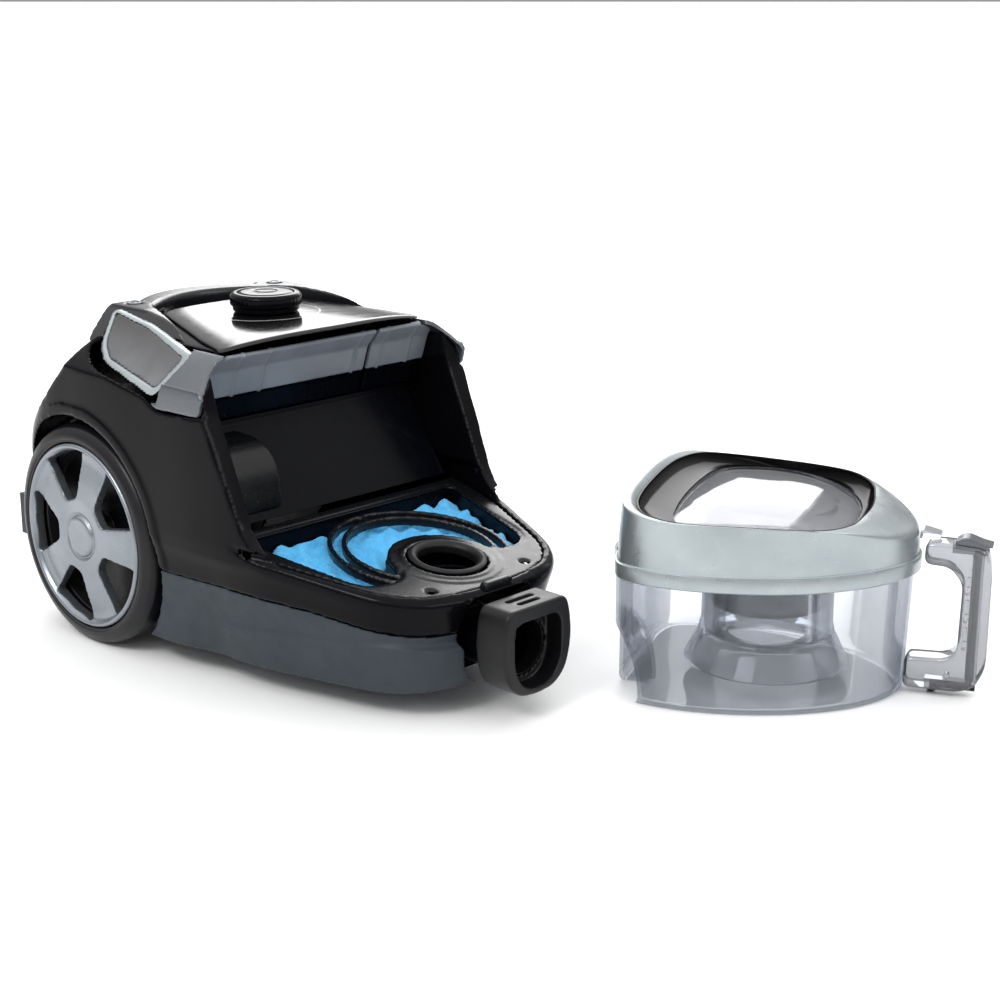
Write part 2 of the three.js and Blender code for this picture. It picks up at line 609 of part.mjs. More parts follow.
function lidForm(p) {
  const inset = 17 * Math.max(0, (p.z - 109) / 46) ** 1.5;
  p.x *= 1 - inset / 109;
  p.y = p.y < 0 ? p.y * (1 - 0.7 * inset / 195) : p.y * (1 - inset / 30);
}

const lidPrism = (grow, z0, z1) => solid(warp(upright(planLoop(LID_PLAN, 32, grow), z0, z1, 4), lidForm));

// Oval plan of the bezel and of its window, at two sizes.
function lidOval(grow) {
  const oval = [[-2, 0], [2, 52], [20, 76], [60, 82], [110, 70], [150, 44], [166, 18], [170, 0]];
  return planLoop(oval, 26, grow);
}

function lidFrame() {
  const rim = [[-36, 98.3], [210, 98.3], [210, 122], [195, 131], [150, 144.5], [110, 151], [60, 155],
    [-15, 157], [-36, 157]];
  const outer = meet(lidPrism(0, 98.3, 160), solid(across(rim, -150, 150)));
  const inner = meet(lidPrism(-2.6, 90, 160), lidRoom(3));
  const knuckle = cut(solid(across([[-36, 100], [-24, 100], [-24, 108], [-36, 108]], -29, 29)),
    lidPrism(-2.4, 90, 160));
  const knuckleRoom = solid(across([[-37, 90], [-23.5, 90], [-23.5, 109], [-37, 109]], 29.3, 40.7));
  return cut(join(cut(outer, inner), knuckle), solid(upright(lidOval(6), 120, 170)),
    bothSides(knuckleRoom), solid(rod(2.4, [-60, -32, 104], [60, -32, 104], 12)));
}

// Layer under the lid's top line.
function lidLayer(top, bottom) {
  const line = LID_SIDE.slice(2);
  const upper = line.map(([v, z]) => [v, z - top]);
  const lower = line.map(([v, z]) => [v, z - bottom]).reverse();
  return solid(across([...upper, ...lower], -150, 150));
}

function lidBezel() {
  const disc = (grow) => solid(upright(lidOval(grow), 100, 170));
  return meet(cut(disc(6 - GAP), disc(-7)), lidLayer(-1, 9));
}

function lidWindow() {
  const dome = warp(upright(lidOval(-7 - GAP), 0, 2.5, 1), (p) => {
    const along01 = THREE.MathUtils.clamp((-p.y - 5) / 160, 0, 1);
    p.z += 148 - 17 * along01 ** 2;
  });
  return cut(solid(dome), solid(rod(53, [0, CYCLONE_V, 120], [0, CYCLONE_V, 132], 24)));
}

function lidSeal() {
  const ring = (grow, z0, z1) => solid(upright(planLoop(LID_PLAN, 28, grow), z0, z1, 1));
  return cut(ring(-4.2, 101, 104.5), ring(-7, 90, 120));
}

function cycloneTube() {
  return turned([[49, 40], [52, 40], [52, 134], [49, 134], [49, 40]], 24).translate(0, -CYCLONE_V, 0);
}

function cycloneSkirt() {
  return turned([[30, 34], [50, 34], [58, 14], [60, 14], [53, 37], [52, 39.6], [30, 36], [30, 34]], 24)
    .translate(0, -CYCLONE_V, 0);
}

function cycloneVane() {
  return turned([[10, 60], [44, 60], [47, 64], [47, 110], [44, 110], [44, 66], [12, 64], [12, 100], [10, 100],
    [10, 60]], 24).translate(0, -CYCLONE_V, 0);
}

const HANDLE_SIDE = [[197, 105], [197, 122], [212, 124], [236, 122], [245, 113], [247, 100], [247, 26],
  [240, 10], [228, 5], [186, 5], [186, 30], [216, 31], [225, 38], [226, 92], [216, 104]];
const CHANNEL_V = 236;

function handleGrip() {
  const grip = cut(solid(across(HANDLE_SIDE, -11, 11)), binPrism(GAP, 0, 120));
  const channel = solid(rod(4.4, [0, CHANNEL_V, 0], [0, CHANNEL_V, 140], 16));
  const buttonWell = solid(block(-7, 7, CHANNEL_V - 12, CHANNEL_V + 7, 114, 140));
  const hookWell = solid(block(-4, 4, 202, 243, -1, 12));
  const screwHole = solid(rod(2.2, [-20, 219, 18], [-6, 219, 18], 12));
  const pinHole = solid(rod(1.7, [-9.5, 217, 7.2], [9.5, 217, 7.2], 12));
  return cut(grip, channel, buttonWell, hookWell, screwHole, pinHole);
}

const latchRod = () => turned([[0, 8.5], [1.2, 8.5], [3.4, 11.5], [3.4, 113], [0, 113]], 16)
  .translate(0, -CHANNEL_V, 0);

function releaseButton() {
  return join(solid(across([[225, 119.5], [225, 126], [238, 124], [241.5, 119.5]], -6, 6)),
    solid(rod(3.4, [0, CHANNEL_V, 113.4], [0, CHANNEL_V, 121], 16)));
}

function latchHook() {
  const side = [[206, 3], [204, 1], [209, 1.2], [214, 5], [240, 5], [240, 7.9], [213, 10], [206, 9]];
  return cut(solid(across(side, -3, 3)), solid(rod(1.7, [-10, 217, 7.2], [10, 217, 7.2], 12)));
}

const hookPin = () => rod(1.4, [-9, 217, 7.2], [9, 217, 7.2], 12);
const handleScrew = () => rod(1.9, [-10.8, 219, 18], [-6.4, 219, 18], 12);

function lidCatch() {
  const side = [[184, 124.4], [208, 124.4], [208, 128], [196, 131], [184, 131]];
  return cut(solid(across(side, -8, 8)), lidPrism(GAP, 90, 165));
}

piece(container, 'dust_bin', bin(), 'smoke');
piece(container, 'bin_handle', handleGrip(), 'clear');
piece(container, 'latch_rod', latchRod(), 'satinBlack');
piece(container, 'release_button', releaseButton(), 'graphite');
piece(container, 'latch_hook', latchHook(), 'satinBlack');
piece(container, 'latch_hook_pin', hookPin(), 'steel');
piece(container, 'handle_screw', handleScrew(), 'steel');
piece(container, 'lid_frame', lidFrame(), 'silver');
piece(container, 'lid_bezel', lidBezel(), 'glossBlack');
piece(container, 'lid_window', lidWindow(), 'clear');
piece(container, 'lid_seal', lidSeal(), 'rubber');
piece(container, 'lid_hinge_pin', rod(2, [-41, -32, 104], [41, -32, 104], 12), 'steel');
piece(container, 'lid_catch', lidCatch(), 'clear');
piece(container, 'cyclone_tube', cycloneTube(), 'smoke');
piece(container, 'cyclone_vane', cycloneVane(), 'smoke');
piece(container, 'cyclone_skirt', cycloneSkirt(), 'smoke');

// The part's origin is below the middle of its bounding box.
const vacuum = new THREE.Group();
vacuum.add(machine, container);
vacuum.updateMatrixWorld(true);
const bounds = new THREE.Box3().setFromObject(vacuum, true);
vacuum.position.set(-(bounds.min.x + bounds.max.x) / 2, -(bounds.min.y + bounds.max.y) / 2, 0);

export default vacuum;
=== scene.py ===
"""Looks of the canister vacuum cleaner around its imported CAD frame.

Shapes are made in millimetres. The machine's own axes are [x, v, z]: x to its left, v forward from the rear axle,
z up from the floor. The container's axes are the same kind, from its rear foot. Placing a piece turns them
into the row frame, in metres.
"""
import json
import math

import bmesh
import bpy
import numpy as np
from mathutils import Matrix, Vector


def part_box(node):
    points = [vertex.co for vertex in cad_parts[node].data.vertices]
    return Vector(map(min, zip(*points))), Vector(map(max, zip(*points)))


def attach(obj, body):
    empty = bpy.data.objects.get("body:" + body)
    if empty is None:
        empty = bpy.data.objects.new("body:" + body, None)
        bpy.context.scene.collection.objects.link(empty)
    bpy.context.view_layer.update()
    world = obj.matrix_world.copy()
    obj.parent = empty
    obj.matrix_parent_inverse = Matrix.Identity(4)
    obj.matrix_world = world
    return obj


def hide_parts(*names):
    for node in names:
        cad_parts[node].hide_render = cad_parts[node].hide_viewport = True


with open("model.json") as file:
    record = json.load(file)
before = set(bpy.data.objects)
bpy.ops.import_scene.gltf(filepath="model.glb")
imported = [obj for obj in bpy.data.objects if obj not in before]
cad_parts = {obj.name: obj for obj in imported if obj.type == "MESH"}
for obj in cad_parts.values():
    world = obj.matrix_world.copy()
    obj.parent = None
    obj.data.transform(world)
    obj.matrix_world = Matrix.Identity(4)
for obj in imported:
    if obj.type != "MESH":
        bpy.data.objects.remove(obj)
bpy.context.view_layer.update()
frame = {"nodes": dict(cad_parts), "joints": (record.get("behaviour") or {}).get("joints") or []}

# ---------------------------------------------------------------- frame

MM = 0.001
tyre_left, tyre_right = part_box("tyre_left"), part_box("tyre_right")
axle_x = (tyre_left[0].x + tyre_right[1].x) / 2
axle_y = (tyre_left[0].y + tyre_left[1].y) / 2
MACHINE = Matrix.Translation((axle_x, axle_y, 0)) @ Matrix.Scale(MM, 4)

HINGE_BACK = 32  # the lid's hinge line lies this far behind the container's rear foot
hinge = next(joint for joint in frame["joints"] if joint["name"] == "lid_hinge")
turn = math.atan2(-hinge["axis"][1], -hinge["axis"][0])
foot = Vector(hinge["pos_m"]) - Matrix.Rotation(turn, 3, "Z") @ Vector((0, HINGE_BACK * MM, 0))
CONTAINER = Matrix.Translation((foot.x, foot.y, 0)) @ Matrix.Rotation(turn, 4, "Z") @ Matrix.Scale(MM, 4)

# Driving dimensions, as in the CAD model
GAP = 0.35
WALL = 3
WHEEL_R = 92
RIM_R = 77
ARCH_R = 100
WHEEL_IN = 108
SIDE_X = 138
BODY_FRONT = 354
PORT_V = 286
PORT_Z = 105
DECK_SLOPE = 0.154
DECK_INSET = 12
BAY_X = 119
KNOB_V = 78
ROOF_Z = 266.5
SHOULDER_X = 103
PANEL_T = 3
CONNECTOR_FRONT = 382
TRAY_BOTTOM = 21

BODY_PLAN = [
    (-124, 0), (-121, 66), (-106, 108), (-62, 132), (0, SIDE_X), (100, SIDE_X), (160, 137),
    (205, 132), (262, 117), (315, 98), (340, 74), (351, 40), (BODY_FRONT, 0),
]
SEAM = [(-140, 84), (180, 84), (250, 80), (300, 72), (335, 66), (400, 58)]
REAR_SLOPE = [(4, 256), (-10, 234), (-42, 204), (-76, 175), (-103, 147), (-128, 108)]
EAR = [(-2, 273.5), (8, 247), (24, 237.5), (103, 223), (121, 254), (54, 267.5)]
PANE = [(2, 271.4), (11, 249.5), (26, 240.5), (100, 228.5), (113, 251.5), (52, 265.4)]
POD = [(-20, 250), (-14, 246), (-6, 246), (4, 249), (20, 236), (104, 221), (112, 221), (126, 255), (84, 268),
       (54, 273), (30, 275.5), (-16, 275.5), (-20, 271)]
KEY_X, KEY_V = 73, -1
FILTER_OPENING = [
    (-110, -178), (-88, -276), (-80, -288), (-60, -292), (-48, -284), (-38, -258), (-20, -244),
    (0, -240), (20, -244), (38, -258), (48, -284), (60, -292), (80, -288), (88, -276), (110, -178),
]


def deck_z(v):
    return PORT_Z - DECK_SLOPE * (v - PORT_V)


def roof_z(x):
    x = np.abs(x)
    flat = np.minimum(1, x / SHOULDER_X)
    return ROOF_Z - 8 * flat ** 2.6 - 0.062 * np.maximum(0, x - SHOULDER_X) ** 1.7


def ease(value, low, high):
    t = np.clip((value - low) / (high - low), 0, 1)
    return t * t * (3 - 2 * t)


# ---------------------------------------------------------------- outlines


def smooth_loop(points, count):
    """Closed centripetal curve through the points, as count points at even spacing."""
    p = np.array(points, float)
    n = len(p)
    fine = []
    for i in range(n):
        a, b, c, d = p[i - 1], p[i], p[(i + 1) % n], p[(i + 2) % n]
        ta, tb, tc = (max(1e-4, np.linalg.norm(q - r)) ** 0.5 for q, r in ((b, a), (c, b), (d, c)))
        slope_b = (b - a) / ta - (c - a) / (ta + tb) + (c - b) / tb
        slope_c = (c - b) / tb - (d - b) / (tb + tc) + (d - c) / tc
        slope_b, slope_c = slope_b * tb, slope_c * tb
        t = np.linspace(0, 1, 24, endpoint=False)[:, None]
        fine.append(
            b * (2 * t ** 3 - 3 * t ** 2 + 1) + slope_b * (t ** 3 - 2 * t ** 2 + t)
            + c * (3 * t ** 2 - 2 * t ** 3) + slope_c * (t ** 3 - t ** 2)
        )
    fine = np.vstack(fine + [p[:1]])
    run = np.r_[0, np.cumsum(np.linalg.norm(np.diff(fine, axis=0), axis=1))]
    at = np.linspace(0, run[-1], count, endpoint=False)
    return np.c_[np.interp(at, run, fine[:, 0]), np.interp(at, run, fine[:, 1])]


def offset(loop, distance):
    """Moves a counter-clockwise loop outwards."""
    loop = np.array(loop, float)
    run = np.roll(loop, -1, 0) - np.roll(loop, 1, 0)
    run /= np.linalg.norm(run, axis=1)[:, None]
    return loop + np.c_[run[:, 1], -run[:, 0]] * distance


def scaled(loop, factor):
    loop = np.array(loop, float)
    return loop.mean(0) + (loop - loop.mean(0)) * factor


def fillet(points, radius, steps=5, closed=True):
    """Rounds every corner of an outline."""
    p = np.array(points, float)
    n = len(p)
    out = []
    for i in range(n):
        if not closed and i in (0, n - 1):
            out.append(p[i][None])
            continue
        before, after = p[i - 1] - p[i], p[(i + 1) % n] - p[i]
        reach = min(radius, 0.48 * np.linalg.norm(before), 0.48 * np.linalg.norm(after))
        a = p[i] + before / np.linalg.norm(before) * reach
        b = p[i] + after / np.linalg.norm(after) * reach
        t = np.linspace(0, 1, steps)[:, None]
        out.append((1 - t) ** 2 * a + 2 * t * (1 - t) * p[i] + t ** 2 * b)
    return np.vstack(out)


def plan_loop(half, count, grow=0.0):
    left = [(w, -v) for v, w in half]
    right = [(-w, -v) for v, w in half[1:-1][::-1]]
    return offset(smooth_loop((left + right)[::-1], count), grow)


# ---------------------------------------------------------------- solids


def shape(points, faces):
    mesh = bpy.data.meshes.new("shape")
    mesh.from_pydata([tuple(p) for p in points], [], faces)
    bm = bmesh.new()
    bm.from_mesh(mesh)
    bmesh.ops.recalc_face_normals(bm, faces=bm.faces)
    bm.to_mesh(mesh)
    bm.free()
    return mesh


def stack(rings, closed=False):
    """Solid through rings of equally many points; its ends are capped, or the last joins the first."""
    count, n = len(rings), len(rings[0])
    faces = []
    for k in range(count if closed else count - 1):
        a, b = k * n, (k + 1) % count * n
        faces += [(a + i, a + (i + 1) % n, b + (i + 1) % n, b + i) for i in range(n)]
    if not closed:
        faces += [tuple(range(n)), tuple(range((count - 1) * n, count * n))]
    return shape(np.vstack(rings), faces)


def upright(loop, z0, z1, steps=1):
    """Plan outline in [x, y], raised from z0 to z1."""
    loop = np.array(loop, float)
    return stack([np.c_[loop, np.full(len(loop), z)] for z in np.linspace(z0, z1, steps + 1)])


def across(loop, x0, x1, steps=1):
    """Side outline in [forward, up], from x0 to x1."""
    loop = np.array(loop, float)
    return stack([np.c_[np.full(len(loop), x), -loop[:, 0], loop[:, 1]] for x in np.linspace(x0, x1, steps + 1)])


def along(loop, v0, v1, steps=1):
    """Front outline in [x, up], from v0 to v1 forward."""
    loop = np.array(loop, float)
    return stack([np.c_[loop[:, 0], np.full(len(loop), -v), loop[:, 1]] for v in np.linspace(v0, v1, steps + 1)])


def block(x0, x1, v0, v1, z0, z1):
    return upright([(x0, -v0), (x0, -v1), (x1, -v1), (x1, -v0)], z0, z1)


def circle(radius, segments):
    t = np.linspace(0, 2 * math.pi, segments, endpoint=False)
    return radius * np.c_[np.cos(t), np.sin(t)]


def rod(radius, start, end, segments=64):
    start, end = (Vector((p[0], -p[1], p[2])) for p in (start, end))
    axis = end - start
    turn_to = Vector((0, 0, 1)).rotation_difference(axis)
    ring = [turn_to @ Vector((x, y, 0)) for x, y in circle(radius, segments)]
    return stack([np.array([p + at for p in ring]) for at in (start, end)])


def lathe(profile, segments=96, closed=True):
    """Body of revolution about z from a [radius, height] profile, closed on itself or ending on the axis."""
    return stack([np.c_[circle(max(r, 0.02), segments), np.full(segments, h)] for r, h in profile], closed)


def moved(mesh, matrix):
    mesh.transform(matrix)
    return mesh


def turned(mesh, axis, degrees):
    return moved(mesh, Matrix.Rotation(math.radians(degrees), 4, axis))


def shifted(mesh, x=0.0, v=0.0, z=0.0):
    return moved(mesh, Matrix.Translation((x, -v, z)))


def points_of(mesh):
    co = np.empty(len(mesh.vertices) * 3)
    mesh.vertices.foreach_get("co", co)
    return co.reshape(-1, 3)


def warp(mesh, form):
    """Moves every vertex by form, a function from an array of points to an array of points."""
    mesh.vertices.foreach_set("co", form(points_of(mesh)).ravel())
    mesh.update()
    return mesh


def mirrored(mesh):
    copy = mesh.copy()
    copy.transform(Matrix.Scale(-1, 4, (1, 0, 0)))
    copy.flip_normals()
    return copy


def evaluated(mesh, *modifiers):
    """Mesh after modifiers, each given as (type, {setting: value}); a mesh as a value stands for an object."""
    link = bpy.context.scene.collection.objects.link
    work = bpy.data.objects.new("work", mesh)
    link(work)
    tools = []
    for kind, settings in modifiers:
        modifier = work.modifiers.new(kind.lower(), kind)
        for key, value in settings.items():
            if isinstance(value, bpy.types.Mesh):
                value = bpy.data.objects.new("tool", value)
                link(value)
                tools.append(value)
            setattr(modifier, key, value)
    graph = bpy.context.evaluated_depsgraph_get()
    graph.update()
    result = bpy.data.meshes.new_from_object(work.evaluated_get(graph))
    for made in (work, *tools):
        bpy.data.objects.remove(made)
    return result


def combined(operation, first, others):
    return evaluated(first, *(
        ("BOOLEAN", {"operation": operation, "solver": "MANIFOLD", "object": other}) for other in others))


def join(first, *others):
    return combined("UNION", first, others)


def cut(first, *others):
    return combined("DIFFERENCE", first, others)


def meet(first, *others):
    return combined("INTERSECT", first, others)


def both_sides(mesh):
    return join(mesh, mirrored(mesh))


def moulded(mesh, grain=1.5, rounds=6):
    """Even fine mesh with every edge softened, as on a moulding."""
    return evaluated(
        mesh,
        ("REMESH", {"mode": "VOXEL", "voxel_size": grain, "use_smooth_shade": True}),
        ("SMOOTH", {"factor": 0.5, "iterations": rounds}),
    )


# ---------------------------------------------------------------- materials


class Nodes:
    """Short way to add shader nodes to a material."""

    def __init__(self, name):
        self.material = bpy.data.materials.new(name)
        self.material.use_nodes = True
        self.tree = self.material.node_tree
        self.tree.nodes.clear()
        self.output = self.add("ShaderNodeOutputMaterial")
        self.place = self.add("ShaderNodeTexCoord").outputs["Object"]

    def add(self, kind, **values):
        node = self.tree.nodes.new(kind)
        for key, value in values.items():
            if hasattr(node, key):
                setattr(node, key, value)
            else:
                self.set(node, key.replace("_", " "), value)
        return node

    def set(self, node, key, value):
        socket = node.inputs[int(key)] if key.isdigit() else node.inputs[key]
        if isinstance(value, bpy.types.NodeSocket):
            self.tree.links.new(value, socket)
        else:
            socket.default_value = value

    def noise(self, scale, detail=3.0, roughness=0.5):
        return self.add("ShaderNodeTexNoise", Vector=self.place, Scale=scale, Detail=detail,
                        Roughness=roughness).outputs["Fac"]

    def spread(self, value, low, high, from_low=0.3, from_high=0.7):
        node = self.add("ShaderNodeMapRange", Value=value)
        for key, number in (("From Min", from_low), ("From Max", from_high), ("To Min", low), ("To Max", high)):
            self.set(node, key, number)
        return node.outputs["Result"]

    def mix(self, factor, first, second):
        node = self.add("ShaderNodeMix", data_type="RGBA")
        self.set(node, "0", factor)
        self.set(node, "6", first)
        self.set(node, "7", second)
        return node.outputs[2]

    def bump(self, height, strength, distance, normal=None):
        node = self.add("ShaderNodeBump", Height=height, Strength=strength, Distance=distance)
        if normal is not None:
            self.set(node, "Normal", normal)
        return node.outputs["Normal"]

    def math(self, operation, first, second=0.0):
        node = self.add("ShaderNodeMath", operation=operation)
        self.set(node, "0", first)
        self.set(node, "1", second)
        return node.outputs[0]


def rgb(red, green, blue):
    """Linear colour from 0-255 display values."""
    return tuple(((c / 255 + 0.055) / 1.055) ** 2.4 if c > 10 else c / 255 / 12.92 for c in (red, green, blue)) + (1,)


def plastic(name, colour, shade, roughness, texture=0.0, texture_size=1800, metallic=0.0, coat=0.0, ripple=0.0,
            specular=0.5):
    """Moulded plastic: two near shades, uneven gloss, and a fine surface texture."""
    n = Nodes(name)
    broad = n.noise(22, 4)
    base = n.mix(n.spread(broad, 0, 1), colour, shade)
    gloss = n.spread(n.noise(90, 5), roughness * 0.85, roughness * 1.18)
    shader = n.add("ShaderNodeBsdfPrincipled", Metallic=metallic)
    n.set(shader, "Base Color", base)
    n.set(shader, "Roughness", gloss)
    n.set(shader, "Specular IOR Level", specular)
    if coat:
        n.set(shader, "Coat Weight", coat)
        n.set(shader, "Coat Roughness", 0.06)
    normal = None
    if ripple:
        normal = n.bump(n.noise(120, 2), ripple, 0.0004)
    if texture:
        normal = n.bump(n.noise(texture_size, 2), texture, 0.00012, normal)
    if normal is not None:
        n.set(shader, "Normal", normal)
    n.set(n.output, "Surface", shader.outputs[0])
    return n.material


def clear_plastic(name, tint, edge_tint, gloss=0.03, body=0.0, shine=0.9):
    """Thin clear moulding: tinted see-through with a reflective skin, denser where it is seen edge on."""
    n = Nodes(name)
    facing = n.add("ShaderNodeLayerWeight", Blend=0.35).outputs["Facing"]
    through = n.add("ShaderNodeBsdfTransparent")
    cloud = n.spread(n.noise(26, 3), 0.985, 1.0)
    hue = n.mix(n.spread(facing, 0, 1, 0.3, 1.0), tint, edge_tint)
    n.set(through, "Color", n.mix(cloud, edge_tint, hue))
    skin = n.add("ShaderNodeBsdfPrincipled")
    n.set(skin, "Base Color", n.mix(n.spread(n.noise(30, 4), 0, 1), edge_tint, tuple(0.9 * c for c in edge_tint)))
    n.set(skin, "Roughness", n.spread(n.noise(140, 4), gloss, gloss * 2.0))
    n.set(skin, "Specular IOR Level", 1.0)
    n.set(skin, "Metallic", 0.0)
    rim = n.add("ShaderNodeFresnel", IOR=1.5).outputs[0]
    share = n.math("ADD", n.math("MULTIPLY", rim, shine), body)
    mirror = n.add("ShaderNodeBsdfGlossy", Roughness=gloss)
    n.set(mirror, "Color", (0.95, 0.96, 0.98, 1))
    coated = n.add("ShaderNodeMixShader")
    n.set(coated, "0", n.spread(facing, 0.55, 0.9, 0.2, 0.9))
    n.set(coated, "1", skin.outputs[0])
    n.set(coated, "2", mirror.outputs[0])
    mixed = n.add("ShaderNodeMixShader")
    n.set(mixed, "0", share)
    n.set(mixed, "1", through.outputs[0])
    n.set(mixed, "2", coated.outputs[0])
    n.set(n.output, "Surface", mixed.outputs[0])
    return n.material


def foam_material():
    n = Nodes("foam")
    cells = n.add("ShaderNodeTexVoronoi", Vector=n.place, Scale=900.0).outputs["Distance"]
    broad = n.noise(60, 5, 0.6)
    base = n.mix(n.spread(broad, 0, 1, 0.35, 0.68), rgb(34, 138, 204), rgb(78, 180, 232))
    speck = n.mix(n.spread(cells, 0.0, 0.35, 0.05, 0.5), base, rgb(112, 202, 240))
    shader = n.add("ShaderNodeBsdfPrincipled", Roughness=0.95)
    n.set(shader, "Base Color", speck)
    n.set(shader, "Sheen Weight", 0.15)
    n.set(shader, "Subsurface Weight", 0.12)
    n.set(shader, "Subsurface Radius", (0.004, 0.008, 0.012))
    n.set(shader, "Normal", n.bump(cells, 0.7, 0.0006, n.bump(n.noise(320, 3), 0.4, 0.001)))
    n.set(n.output, "Surface", shader.outputs[0])
    return n.material


def window_material():
    """Smoked pane under a clear gloss, with a painted reflection: light grey low on the pane, fading to dark smoke
    towards the top.
    """
    n = Nodes("side_window_smoke_and_painted_reflection")
    height = n.add("ShaderNodeSeparateXYZ", Vector=n.place).outputs["Z"]
    # Painted reflection: the pane is painted light grey below and dark smoke above, by height.
    painted_reflection_fade = n.spread(height, 0, 1, 0.232, 0.268)
    cloud = n.spread(n.noise(34, 3), 0, 1)
    base = n.mix(painted_reflection_fade, n.mix(cloud, rgb(104, 105, 108), rgb(84, 85, 88)), n.mix(cloud, rgb(38, 37, 38), rgb(26, 26, 27)))
    shader = n.add("ShaderNodeBsdfPrincipled", Metallic=0.3)
    n.set(shader, "Base Color", base)
    n.set(shader, "Roughness", n.spread(n.noise(90, 5), 0.08, 0.14))
    n.set(shader, "Coat Weight", 0.6)
    n.set(n.output, "Surface", shader.outputs[0])
    return n.material


def panel_material():
    """Gloss black with a fine white ring printed round the knob."""
    n = Nodes("panel_black")
    split = n.add("ShaderNodeSeparateXYZ", Vector=n.place)
    dx = n.math("SUBTRACT", split.outputs["X"], axle_x)
    dy = n.math("SUBTRACT", split.outputs["Y"], axle_y - KNOB_V * MM)
    reach = n.math("SQRT", n.math("ADD", n.math("MULTIPLY", dx, dx), n.math("MULTIPLY", dy, dy)))
    off = n.math("ABSOLUTE", n.math("SUBTRACT", reach, 0.0435))
    ring = n.math("LESS_THAN", off, 0.00045)
    base = n.mix(n.spread(n.noise(22, 4), 0, 1), rgb(10, 10, 12), rgb(16, 15, 16))
    shader = n.add("ShaderNodeBsdfPrincipled")
    n.set(shader, "Base Color", n.mix(ring, base, rgb(225, 225, 225)))
    n.set(shader, "Roughness", n.spread(n.noise(90, 5), 0.1, 0.15))
    n.set(shader, "Specular IOR Level", 0.45)
    n.set(n.output, "Surface", shader.outputs[0])
    return n.material


LOOKS = {
    "tray": plastic("tray_grey", rgb(50, 57, 63), rgb(44, 51, 57), 0.5, texture=0.3, specular=0.25),
    "gloss": plastic("gloss_black", rgb(5, 5, 8), rgb(8, 8, 11), 0.17, ripple=0.03, specular=0.09),
    "panel": panel_material(),
    "deck": plastic("deck_black", rgb(15, 16, 19), rgb(11, 12, 14), 0.26, texture=0.1, specular=0.3),
    "bay": plastic("bay_black", rgb(7, 8, 14), rgb(4, 5, 9), 0.26, texture=0.03, specular=0.08),
    "handle": plastic("handle_black", rgb(26, 27, 30), rgb(18, 19, 22), 0.24, texture=0.12, specular=0.4),
    "satin": plastic("satin_black", rgb(14, 14, 17), rgb(10, 10, 12), 0.36, texture=0.2, specular=0.3),
    "graphite": plastic("graphite_paint", rgb(104, 108, 112), rgb(92, 96, 100), 0.3, metallic=0.75, texture=0.2,
                        texture_size=3200),
    "ledge": plastic("ledge_grey", rgb(126, 131, 138), rgb(108, 113, 120), 0.22, texture=0.05, specular=0.4),
    "silver": plastic("silver_paint", rgb(172, 180, 182), rgb(156, 164, 167), 0.3, metallic=0.75, texture=0.12,
                      texture_size=3600),
    "rim": plastic("rim_silver", rgb(176, 180, 184), rgb(160, 164, 168), 0.22, metallic=0.9, texture=0.1,
                   texture_size=3600),
    "hub": plastic("hub_silver", rgb(146, 152, 158), rgb(128, 134, 140), 0.3, metallic=0.85, texture=0.2,
                   texture_size=3600),
    "window": window_material(),
    "rubber": plastic("rubber", rgb(17, 17, 19), rgb(12, 12, 14), 0.5, texture=0.4, texture_size=1400, specular=0.3),
    "tyre": plastic("tyre_rubber", rgb(18, 18, 22), rgb(13, 13, 16), 0.36, texture=0.3, texture_size=1400,
                    specular=0.3),
    "foam": foam_material(),
    "steel": plastic("steel", rgb(170, 172, 174), rgb(140, 142, 146), 0.3, metallic=1.0, texture=0.2),
    "copper": plastic("winding", rgb(150, 96, 56), rgb(116, 70, 40), 0.45, metallic=0.8, texture=0.6),
    "paper": plastic("filter_paper", rgb(226, 226, 220), rgb(206, 206, 198), 0.9, texture=0.6, texture_size=900),
    "board": plastic("board", rgb(30, 88, 56), rgb(22, 70, 44), 0.5, texture=0.4),
    "gloss_lid": plastic("lid_gloss_black", rgb(7, 7, 8), rgb(11, 10, 11), 0.12, specular=0.03),
    "bin": clear_plastic("bin_smoke", (0.955, 0.963, 0.975, 1), (0.48, 0.51, 0.57, 1), shine=0.6),
    "inner": clear_plastic("cyclone_smoke", (0.92, 0.93, 0.945, 1), (0.36, 0.4, 0.46, 1), body=0.05, shine=0.6),
    "clear": clear_plastic("clear_plastic", (0.62, 0.63, 0.65, 1), (0.15, 0.16, 0.18, 1), body=0.12),
    "dome": clear_plastic("dome_clear", (0.95, 0.95, 0.955, 1), (0.55, 0.55, 0.57, 1)),
}


def place(name, mesh, look, body, *nodes, space=MACHINE, sharp=32):
    """Puts a finished shape in the row frame, in its material, on its body, in place of the named CAD nodes."""
    mesh.transform(space)
    mesh.materials.clear()
    mesh.materials.append(LOOKS[look])
    mesh.polygons.foreach_set("use_smooth", np.ones(len(mesh.polygons), bool))
    mesh.polygons.foreach_set("material_index", np.zeros(len(mesh.polygons), np.int32))
    mesh.set_sharp_from_angle(angle=math.radians(sharp))
    mesh.name = name
    piece = bpy.data.objects.new(name, mesh)
    bpy.context.scene.collection.objects.link(piece)
    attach(piece, body)
    if nodes:
        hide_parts(*nodes)
    return piece


def keep(node, look):
    """A CAD node whose shape stays, in its own material."""
    piece = frame["nodes"][node]
    piece.data.materials.clear()
    piece.data.materials.append(LOOKS[look])


# ---------------------------------------------------------------- body


def body_form(p):
    """Outer form of the body: it draws in below the deck, most of all towards the front."""
    low = np.clip((112 - p[:, 2]) / 92, 0, 1) ** 0.8
    inset = low * (14 + 13 * ease(-p[:, 1], 95, 175))
    out = p.copy()
    out[:, 0] *= 1 - inset / SIDE_X
    out[:, 1] *= 1 - np.where(p[:, 1] < 0, 1, 0.6) * low * 27 / BODY_FRONT
    return out


def body_prism(grow, z0, z1, count=200):
    return warp(upright(plan_loop(BODY_PLAN, count, grow), z0, z1, 24), body_form)


